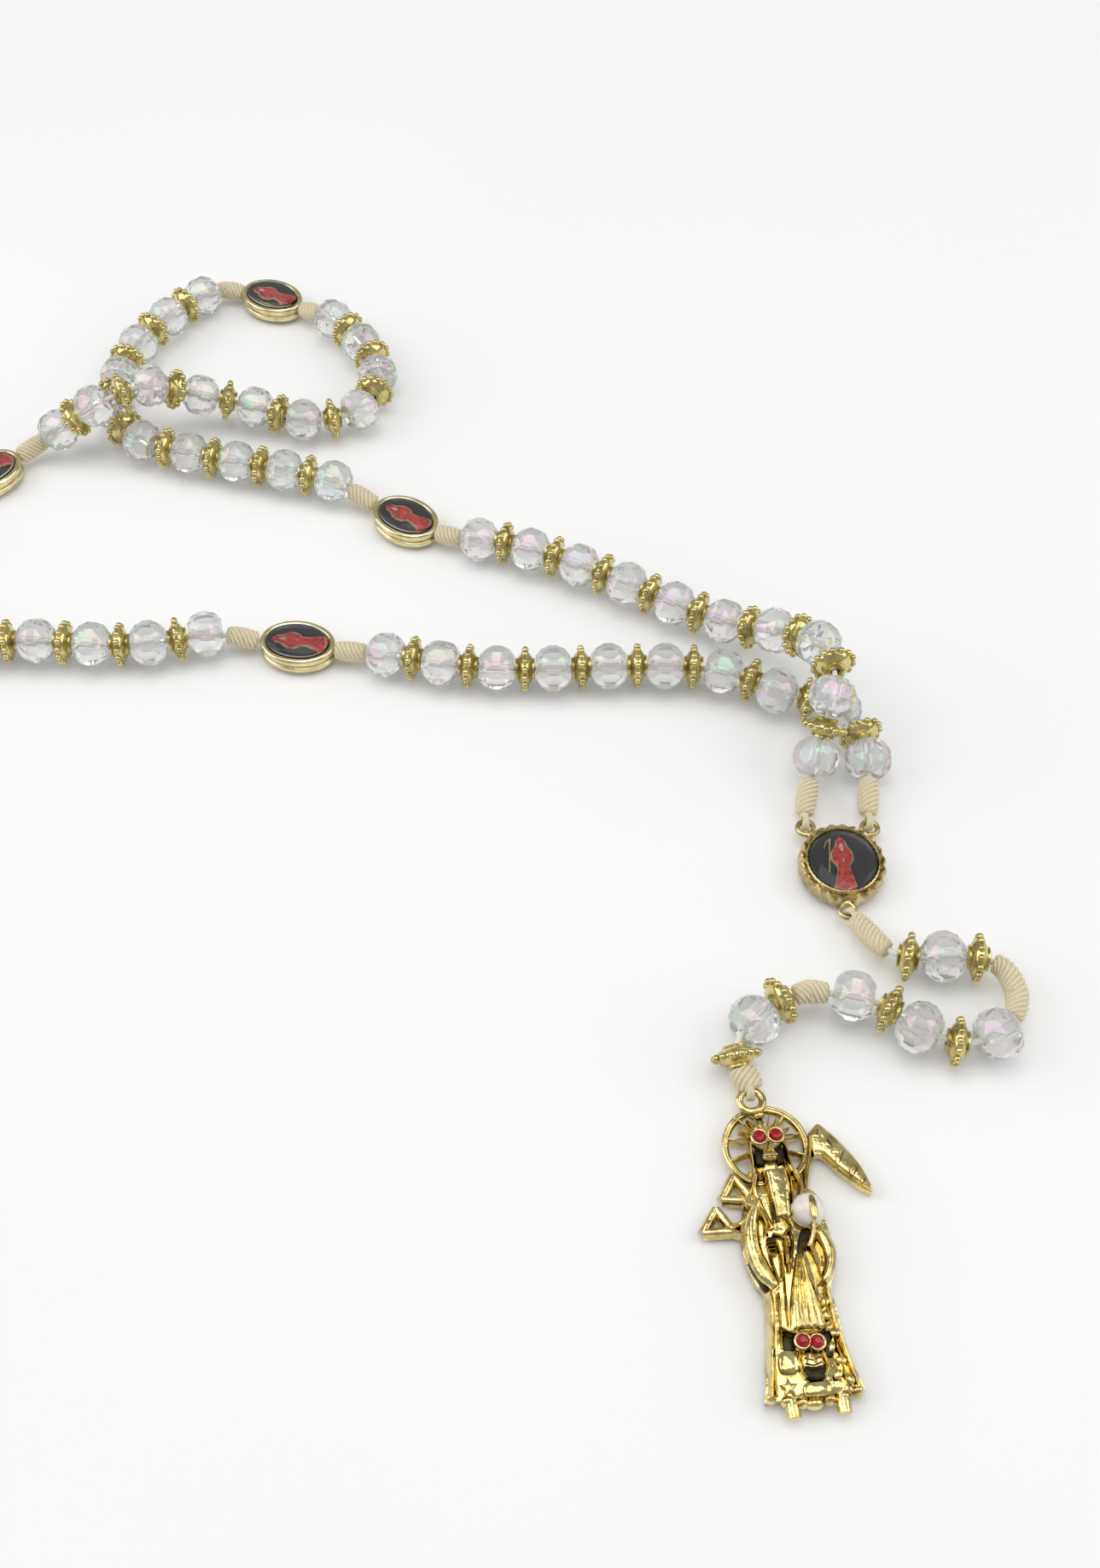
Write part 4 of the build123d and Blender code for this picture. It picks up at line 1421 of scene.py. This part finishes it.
    def skull(self) -> list[Surface]:
        """Return the skull: head, jaw, nape, eye cups, nose, teeth, crown and the hood's edges."""
        head = egg((0.3, -6.0, 2.1), (2.25, 2.15, 1.7), 28, 15)
        jaw = egg((0.35, -8.7, 2.3), (1.25, 1.15, 1.1), 20, 11)
        nape = egg((0.5, -9.2, 1.0), (2.3, 3.4, 1.0), 20, 11)
        found = [head, jaw, nape, *self.eye_cups(self.eyes, 1.08)]
        found.append(ridge(flowing([(0.3, -7.0), (0.3, -8.3)], 8), np.linspace(0.2, 0.42, 8), 2.8, 1.3))
        found += [ball(0.24).moved(self.spot(-0.45 + 0.4 * k, -8.9, 3.35)) for k in range(5)]
        for turn in np.radians(np.linspace(25, 155, 7)):
            x, y = 0.3 + 2.0 * math.cos(turn), -5.9 + 1.75 * math.sin(turn)
            found.append(ball(0.3).moved(self.spot(x, y, 3.1)))
        for side in (-1, 1):
            hood = [(0.4 + side * 3.3, -13.4), (0.4 + side * 2.7, -10.6), (0.35 + side * 2.55, -8.0),
                    (0.3 + side * 2.4, -6.6)]
            found.append(ridge(flowing(hood, 30), 0.42, 0.6, 2.5))
        return found

    def scythe(self) -> list[Surface]:
        """Return the scythe: its shaft, its blade, the blade's inner rim and three short bars."""
        shaft = flowing([(4.6, -14.2), (5.3, -11.2), (6.2, -8.4), (6.7, -5.8)], 30)
        edges = [[(6.6, -5.2), (8.2, -3.9), (9.6, -5.2), (11.4, -7.6), (13.2, -10.8), (14.25, -14.3)],
                 [(6.9, -8.6), (8.2, -9.0), (9.7, -11.0), (11.4, -12.7), (12.8, -14.2), (13.9, -15.0)],
                 [(7.0, -8.1), (8.4, -8.6), (9.9, -10.6), (11.5, -12.3), (13.0, -13.8), (13.9, -14.6)]]
        outer, inner, rim = (flowing(edge, 48) for edge in edges)
        blade = panel(inner, outer, 0.0, 1.4, 0.35, power=5.0)
        found = [ridge(shaft, 0.62, 0.0, 2.0), blade, ridge(rim, 0.3, 0.5, 1.6)]
        for share in (0.42, 0.6, 0.78):
            row = int(share * 47)
            end = outer[row + 1] * 0.4 + inner[row] * 0.6
            found.append(ridge(np.linspace(inner[row], end, 10), 0.16, 0.8, 1.15))
        return found

    def tools(self) -> list[Surface]:
        """Return the scythe, the scales, the finger on the pearl, its wrist, the bail and its neck."""
        found = self.scythe()
        pans = [[(-5.1, -10.6), (-7.2, -13.9), (-2.6, -14.6)],
                [(-8.3, -15.3), (-10.6, -18.6), (-6.3, -18.7)]]
        for pan in np.array(pans):
            found += [ridge(np.linspace(here, there, 14), 0.78, 0.0, 1.5, power=4.0)
                      for here, there in zip(pan, np.roll(pan, -1, 0))]
        found += bars([
            ([(-7.4, -18.2), (-6.2, -18.9), (-4.6, -19.6)], 0.6, 1.7),
            ([(-4.4, -14.2), (-3.6, -15.6), (-3.0, -16.6)], 0.6, 1.7),
            ([(-6.9, -18.0), (-5.6, -18.0), (-4.2, -17.2)], 0.6, 1.7),
        ], 0.0, 16)
        found.append(egg((4.55, -18.0, 5.3), (0.62, 1.9, 0.55), 16, 11))
        wrist = flowing([(4.4, -19.4), (4.2, -21.0), (3.4, -22.8)], 16)
        found.append(ridge(wrist, np.linspace(0.7, 0.95, 16), 1.2, np.linspace(3.6, 2.4, 16)))
        x, y = -self.shift[0], -self.shift[1]
        found.append(torus(1.7, 0.6, 48, 16).moved(self.spot(x, y, self.bail_height)))
        found.append(egg((x + 0.5, y - 2.0, 1.3), (1.2, 0.9, 0.9)))
        return found

    def owl(self) -> list[Surface]:
        """Return the owl at the hem, its step, block and star, and the scalloped foot with two pegs."""
        chest = [(2.6, -38.2), (2.0, -36.4), (0.2, -36.4), (-0.4, -38.2), (0.1, -40.2), (2.2, -40.2)]
        found = pads([(chest, 1.6, 0.9)], 40, 0.8, 7) + self.eye_cups(self.owl_eyes, 1.0)
        found += [egg((x, y, 2.6), (0.95, 0.95, 1.2)) for x, y in self.owl_eyes]
        found.append(ridge(flowing([(1.05, -36.2), (1.0, -37.8)], 10), np.linspace(0.4, 0.12, 10), 2.4, 1.7))
        found += [ridge(flowing([(0.0, y), (1.1, y - 0.35), (2.2, y)], 16), 0.22, 2.4, 1.15, 5)
                  for y in (-37.9, -38.6, -39.3)]
        for side in (-1, 1):
            wing = [(1.1 + side * 1.5, -36.9), (1.1 + side * 1.9, -38.6), (1.1 + side * 1.2, -40.4)]
            found.append(ridge(flowing(wing, 20), 0.42, 1.4, 1.9))
        found += pads([([(2.6, -42.6), (2.7, -41.1), (-0.4, -41.1), (-0.5, -42.6)], 0.4, 2.4),
                       ([(-1.1, -39.4), (-1.0, -37.0), (-3.1, -36.9), (-3.3, -39.3)], 1.2, 1.8)], 36, 0.4, 5)
        star = np.array([(radius * math.sin(turn), radius * math.cos(turn)) for radius, turn in
                         zip([1.3, 0.6] * 5, -np.arange(10) / 10 * FULL_TURN)])
        found.append(outward(pillow(star, 0.0, 0.3, 0.4, 4)).moved(self.spot(-2.6, -41.4, 2.4)))
        lobes = [(-5.0, -42.5, 0.85), (-2.9, -43.1, 1.0), (-0.9, -43.4, 0.8), (0.6, -43.7, 1.3),
                 (2.7, -43.3, 0.9), (4.6, -43.1, 1.0), (6.6, -42.5, 0.9)]
        found += [egg((x, y + 0.3, 1.2), (size, 0.8, 1.15), 18, 9) for x, y, size in lobes]
        peg = np.array([(0.5, -1.2), (0.95, -1.1), (1.02, 0.0), (0.9, 1.4)])
        found += [lathe(peg, 24, True).moved(self.spot(x, y, 1.3, (0, 1, 0)))
                  for x, y in ((-2.4, -44.0), (4.4, -43.8))]
        return found

    def painted_shade_pads(self) -> list[Surface]:
        """Return dark pads of painted shade for the hollows by the jaw, in the cuffs and round the owl, and
        for the blade's cuts.
        """
        hollows = [
            ([(-0.6, -7.9), (-1.6, -7.4), (-1.7, -9.6), (-0.6, -9.9)], 2.7),
            ([(2.3, -7.4), (1.3, -7.9), (1.3, -9.9), (2.3, -9.6)], 2.7),
            ([(-1.0, -21.0), (-2.2, -21.0), (-2.3, -22.2), (-1.0, -22.4)], 3.2),
            ([(3.9, -20.4), (2.6, -20.4), (1.7, -23.6), (3.4, -22.6)], 3.3),
            ([(-0.8, -34.9), (-2.2, -34.4), (-2.3, -36.6), (-0.9, -36.5)], 2.6),
            ([(4.0, -34.6), (3.0, -35.0), (2.9, -37.4), (4.1, -37.6)], 2.6),
            ([(2.4, -39.1), (-0.1, -39.0), (0.1, -40.6), (2.2, -40.7)], 3.3),
            ([(-4.6, -26.0), (-5.2, -24.0), (-4.0, -27.4), (-3.2, -28.2)], 2.7),
        ]
        cuts = [((8.0, -4.9), (7.8, -5.7)), ((9.1, -6.6), (9.6, -7.5)), ((11.1, -8.6), (10.2, -10.2)),
                ((12.6, -11.3), (11.9, -12.2)), ((13.4, -13.0), (12.9, -13.7))]
        return (pads([(corners, 0.6, top - 0.8) for corners, top in hollows], 28, 0.2, 4)
                + [ridge(np.linspace(start, end, 10), 0.17, 1.0, 1.0) for start, end in cuts])

    def place(self, surfaces: list[Surface], name: str, look: Look, nodes: tuple[str, ...], slot: str,
              crease: float = CAST_CREASE) -> None:
        """Place one piece of the pendant.

        Args:
            surfaces: its surfaces in the figure's frame.
            name: the piece's name.
            look: its finish.
            nodes: the CAD nodes that it stands for.
            slot: its material slot.
            crease: as for Surface.to_object.
        """
        piece = joined(surfaces).moved(self.frame()).to_object(name, dressed(look), crease)
        place_piece(piece, self.body, nodes, slot)

    def build(self) -> None:
        """Place the casting, the pearl and the stones."""
        groups = {"robe": self.robe(), "arms": self.arms(), "halo": self.halo(), "skull": self.skull(),
                  "tools": self.tools(), "owl": self.owl()}
        for name, surfaces in groups.items():
            stands_for = ("pendant_body",) if name == "robe" else ()
            closed = [outward(part) for part in surfaces]
            self.place(closed, f"pendant_{name}", Look.CAST, stands_for, "bright_gold")
        # Painted shade: dark pads laid in the casting's hollows.
        dark = [outward(part) for part in self.painted_shade_pads()]
        self.place(dark, "pendant_painted_shade", Look.PAINTED_SHADE, (), "bright_gold")
        pearl = ball(self.pearl_radius, 40, 23).moved(self.spot(*self.pearl_spot))
        self.place([pearl], "pendant_pearl_ball", Look.PEARL, ("pendant_pearl",), "pearl", SMOOTH)
        stone = lathe(np.array([(0.15, -0.5), (0.95, 0.0), (0.95, 0.12), (0.7, 0.42), (0.4, 0.55)]), 8, True)
        for name, spots in (("skull_stones", self.eyes), ("owl_stones", self.owl_eyes)):
            cut = [stone.moved(self.spot(x, y, self.stone_height)) for x, y in spots]
            self.place(cut, f"{name}_cut", Look.RUBY, (name,), "red_stone", FACETED)


# --------------------------------------------------------------------------- setting
@dataclass
class Studio:
    """Floor, lights and camera.

    Args:
        eye: the camera's place.
        tilt: its turn up from straight down, in degrees.
        lens: its focal length in millimetres.
        floor_height: height of the floor, below the lowest bead.
        floor_half: half the floor's width.
        middle: what the lights face.
        glow: strength of the white surroundings.
        lamps: name, place, size and power of each soft light.
    """

    eye: Spot = (-0.0468, -0.15767, 0.23379)
    tilt: float = 36.84
    lens: float = 40.16
    floor_height: float = -0.9 * MM
    floor_half: float = 3.0
    middle: Spot = (-0.07, 0.05, 0.0)
    glow: float = 0.42
    lamps: tuple[tuple[str, Spot, float, float], ...] = (
        ("overhead", (-0.1, 0.02, 0.95), 0.75, 3.4),
        ("left", (-1.0, 0.05, 0.62), 0.9, 4.4),
        ("right", (0.85, 0.0, 0.65), 0.9, 3.6),
    )

    def build(self) -> None:
        """Place them."""
        low, half = self.floor_height, self.floor_half
        corners = np.array([[(x, y, low) for x in (-half, half)] for y in (-half, half)])
        floor = grid(corners, ring=False, caps=False).to_object("floor", dressed(Look.CARD))
        for lamp in self.lamps:
            self.light(*lamp)
        world = bpy.data.worlds.new("studio")
        bpy.context.scene.world = world
        world.use_nodes = True
        background = world.node_tree.nodes["Background"]
        background.inputs["Color"].default_value = (1.0, 1.0, 1.0, 1.0)
        background.inputs["Strength"].default_value = self.glow
        camera = bpy.data.objects.new("camera", bpy.data.cameras.new("camera"))
        camera.data.lens = self.lens
        camera.data.clip_start = 0.01
        camera.location = self.eye
        camera.rotation_euler = (math.radians(self.tilt), 0.0, 0.0)
        bpy.context.scene.collection.objects.link(camera)
        bpy.context.scene.camera = camera
        bpy.context.scene.view_settings.view_transform = "Standard"

    def light(self, name: str, spot: Spot, size: float, power: float) -> None:
        """Place a soft square light that faces the middle of the loop."""
        data = bpy.data.lights.new(name, "AREA")
        data.size = size
        data.energy = power
        lamp = bpy.data.objects.new(name, data)
        lamp.location = spot
        lamp.rotation_euler = (Vector(self.middle) - Vector(spot)).to_track_quat("-Z", "Y").to_euler()
        bpy.context.scene.collection.objects.link(lamp)


# --------------------------------------------------------------------------- the rosary
# Points of each stretch of cord in millimetres, as in the CAD.
ROUTES = {
    "1": [(-5.2, 9.3, 1.7), (-4.6, 13.6, 2.5), (-2.6, 19.4, 5.4), (-0.9, 24.6, 10.6), (0.6, 29.8, 13.2),
          (-0.2, 36.2, 13.1), (-4.8, 42.6, 9.6), (-13.6, 48.4, 4.8), (-24.6, 54.4, 4.0), (-41.2, 64.2, 4.0),
          (-56.5, 70.4, 4.0), (-66.6, 73.0, 1.7), (-79.4, 81.6, 1.7)],
    "2": [(-79.6, 81.8, 1.7), (-86.6, 85.8, 3.9), (-98.1, 89.1, 4.0), (-113.4, 92.8, 4.0),
          (-125.2, 96.4, 4.0), (-131.8, 103.4, 4.0), (-132.8, 114.8, 4.0), (-130.2, 126.2, 4.0),
          (-124.4, 135.6, 4.0), (-118.6, 143.0, 3.0), (-113.2, 147.0, 1.7), (-98.6, 139.7, 1.7)],
    "3": [(-98.4, 139.6, 1.7), (-93.0, 135.6, 3.8), (-86.0, 128.0, 4.0), (-80.4, 117.8, 4.0),
          (-82.4, 105.6, 4.0), (-93.4, 101.8, 4.0), (-106.2, 107.4, 4.2), (-116.0, 106.8, 7.2),
          (-123.2, 103.2, 13.0), (-130.6, 98.8, 13.0), (-137.6, 98.6, 8.4), (-144.0, 98.4, 3.4),
          (-149.0, 95.2, 1.7), (-158.9, 85.4, 1.7), (-163.1, 80.6, 2.2)],
    "4": [(-98.2, 47.7, 1.7), (-105.2, 48.2, 3.9), (-115.2, 45.2, 4.0), (-126.4, 44.7, 4.0),
          (-138.0, 46.2, 4.0), (-151.0, 44.6, 4.0), (-163.4, 47.4, 4.0), (-171.8, 55.6, 4.0),
          (-173.8, 66.2, 4.0), (-170.4, 75.4, 4.0), (-163.5, 80.0, 4.0)],
    "5": [(5.2, 9.3, 1.7), (5.6, 13.8, 2.8), (6.2, 20.6, 4.0), (5.0, 27.0, 4.0), (0.4, 31.8, 4.0),
          (-6.0, 33.2, 4.0), (-11.8, 36.8, 4.0), (-19.0, 39.6, 4.0), (-32.0, 40.2, 4.0), (-47.0, 39.3, 4.0),
          (-60.0, 39.5, 4.0), (-73.0, 42.4, 4.0), (-83.4, 45.4, 1.7), (-98.0, 47.7, 1.7)],
    "a": [(0.8, -9.7, 1.7), (2.8, -13.6, 2.4), (5.0, -17.4, 3.6), (9.4, -18.9, 4.0), (14.6, -18.3, 4.0),
          (20.2, -18.9, 4.0), (23.2, -21.4, 4.0), (23.6, -25.2, 4.0)],
    "b": [(23.6, -25.2, 4.0), (23.2, -28.4, 4.0), (20.2, -31.8, 4.0), (14.6, -33.8, 4.0), (8.8, -31.4, 4.0),
          (4.2, -27.4, 4.0), (-0.9, -25.3, 4.0), (-7.6, -24.6, 4.0)],
    "c": [(-7.6, -24.6, 4.0), (-11.0, -25.4, 4.0), (-15.2, -28.2, 4.0), (-19.6, -33.2, 3.8),
          (-19.0, -36.6, 2.5), (-17.6, -38.9, 2.0)],
}
DECADE_CORDS = {"1": 0.1250, "2": 0.1233, "3": 0.1355, "4": 0.1050, "5": 0.1254}
RING_LOOPS = {"1": (-5.2, 8.5, 1.7, 0.0, 1.0), "5": (5.2, 8.5, 1.7, 0.0, 1.0),
              "a": (0.59, -9.86, 1.7, 0.456, -0.89), "c": (-17.56, -40.1, 2.0, -0.034, 1.0)}
TAIL_CRYSTALS = 5
TAIL_SPACERS = 6
MEDAL_BEADS = 4
ROLL_SEED = 7


def build_strands(nodes: Nodes) -> None:
    """Lay every cord and wind every wrap."""
    routes = {name: Route(f"cord_{name}", f"decade_{name}" if name.isdigit() else f"tail_{name}", points)
              for name, points in ROUTES.items()}
    strands = [Strand(routes[name], f"core_cord_{name}", (f"wraps_{name}",), length, RING_LOOPS.get(name))
               for name, length in DECADE_CORDS.items()]
    strands += [
        Strand(routes["a"], "tail_core_a", ("tail_wrap_1",), loop_at=RING_LOOPS["a"]),
        Strand(routes["b"], "tail_core_b", ()),
        Strand(routes["c"], "tail_core_c", ("tail_wrap_4",), loop_at=RING_LOOPS["c"], wrap_radius=2.15 * MM,
               reach=1.3 * MM),
    ]
    for strand in strands:
        strand.build(nodes)
    for number, upper, lower in ((2, "a", "b"), (3, "b", "c")):
        name = f"tail_wrap_{number}"
        halves = (f"{name}_upper", f"{name}_lower")
        JointWrap(f"{name}_winding", routes[upper], routes[lower], halves).build(nodes)


def build_beads(nodes: Nodes) -> None:
    """Thread every crystal and spacer."""
    crystal, spacer = outward(CrystalBead().shape()), outward(SpacerBead().shape())
    rolls = np.random.default_rng(ROLL_SEED)
    decades = [(name, f"decade_{name}") for name in DECADE_CORDS]
    crystals = [(f"crystals_{name}", body) for name, body in decades]
    spacers = [(f"spacers_{name}", body) for name, body in decades]
    tail_crystals = [f"tail_crystal_{number}" for number in range(1, TAIL_CRYSTALS + 1)]
    tail_spacers = [f"tail_spacer_{number}" for number in range(1, TAIL_SPACERS + 1)]
    glass = (crystal, Look.CRYSTAL, "crystal_glass", FACETED)
    gold = (spacer, Look.SPACER, "gold_spacer", SPACER_CREASE)
    for rows, kind in ((crystals, glass), (spacers, gold), (zip(tail_crystals, tail_crystals), glass),
                       (zip(tail_spacers, tail_spacers), gold)):
        for node, body in rows:
            BeadGroup(node, body, *kind).build(nodes, rolls)


def main() -> None:
    """Build the rosary and its setting."""
    logging.basicConfig(level=logging.INFO, format="%(name)s: %(message)s")
    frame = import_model()
    nodes = frame["nodes"]
    Studio().build()
    build_strands(nodes)
    build_beads(nodes)
    for number in range(1, MEDAL_BEADS + 1):
        name = f"medal_{number}"
        MedalBead(name, name, 5.58 * MM, 3.83 * MM, 2.4 * MM, head=(-1.0, 0.0)).build(nodes)
    CentreMedal("centre_medal", "centre", 5.45 * MM, 5.85 * MM, 2.15 * MM, head=(0.0, 1.0), rise=0.8 * MM,
                blade=True).build(nodes)
    Pendant().build()


if __name__ == "__main__":
    main()
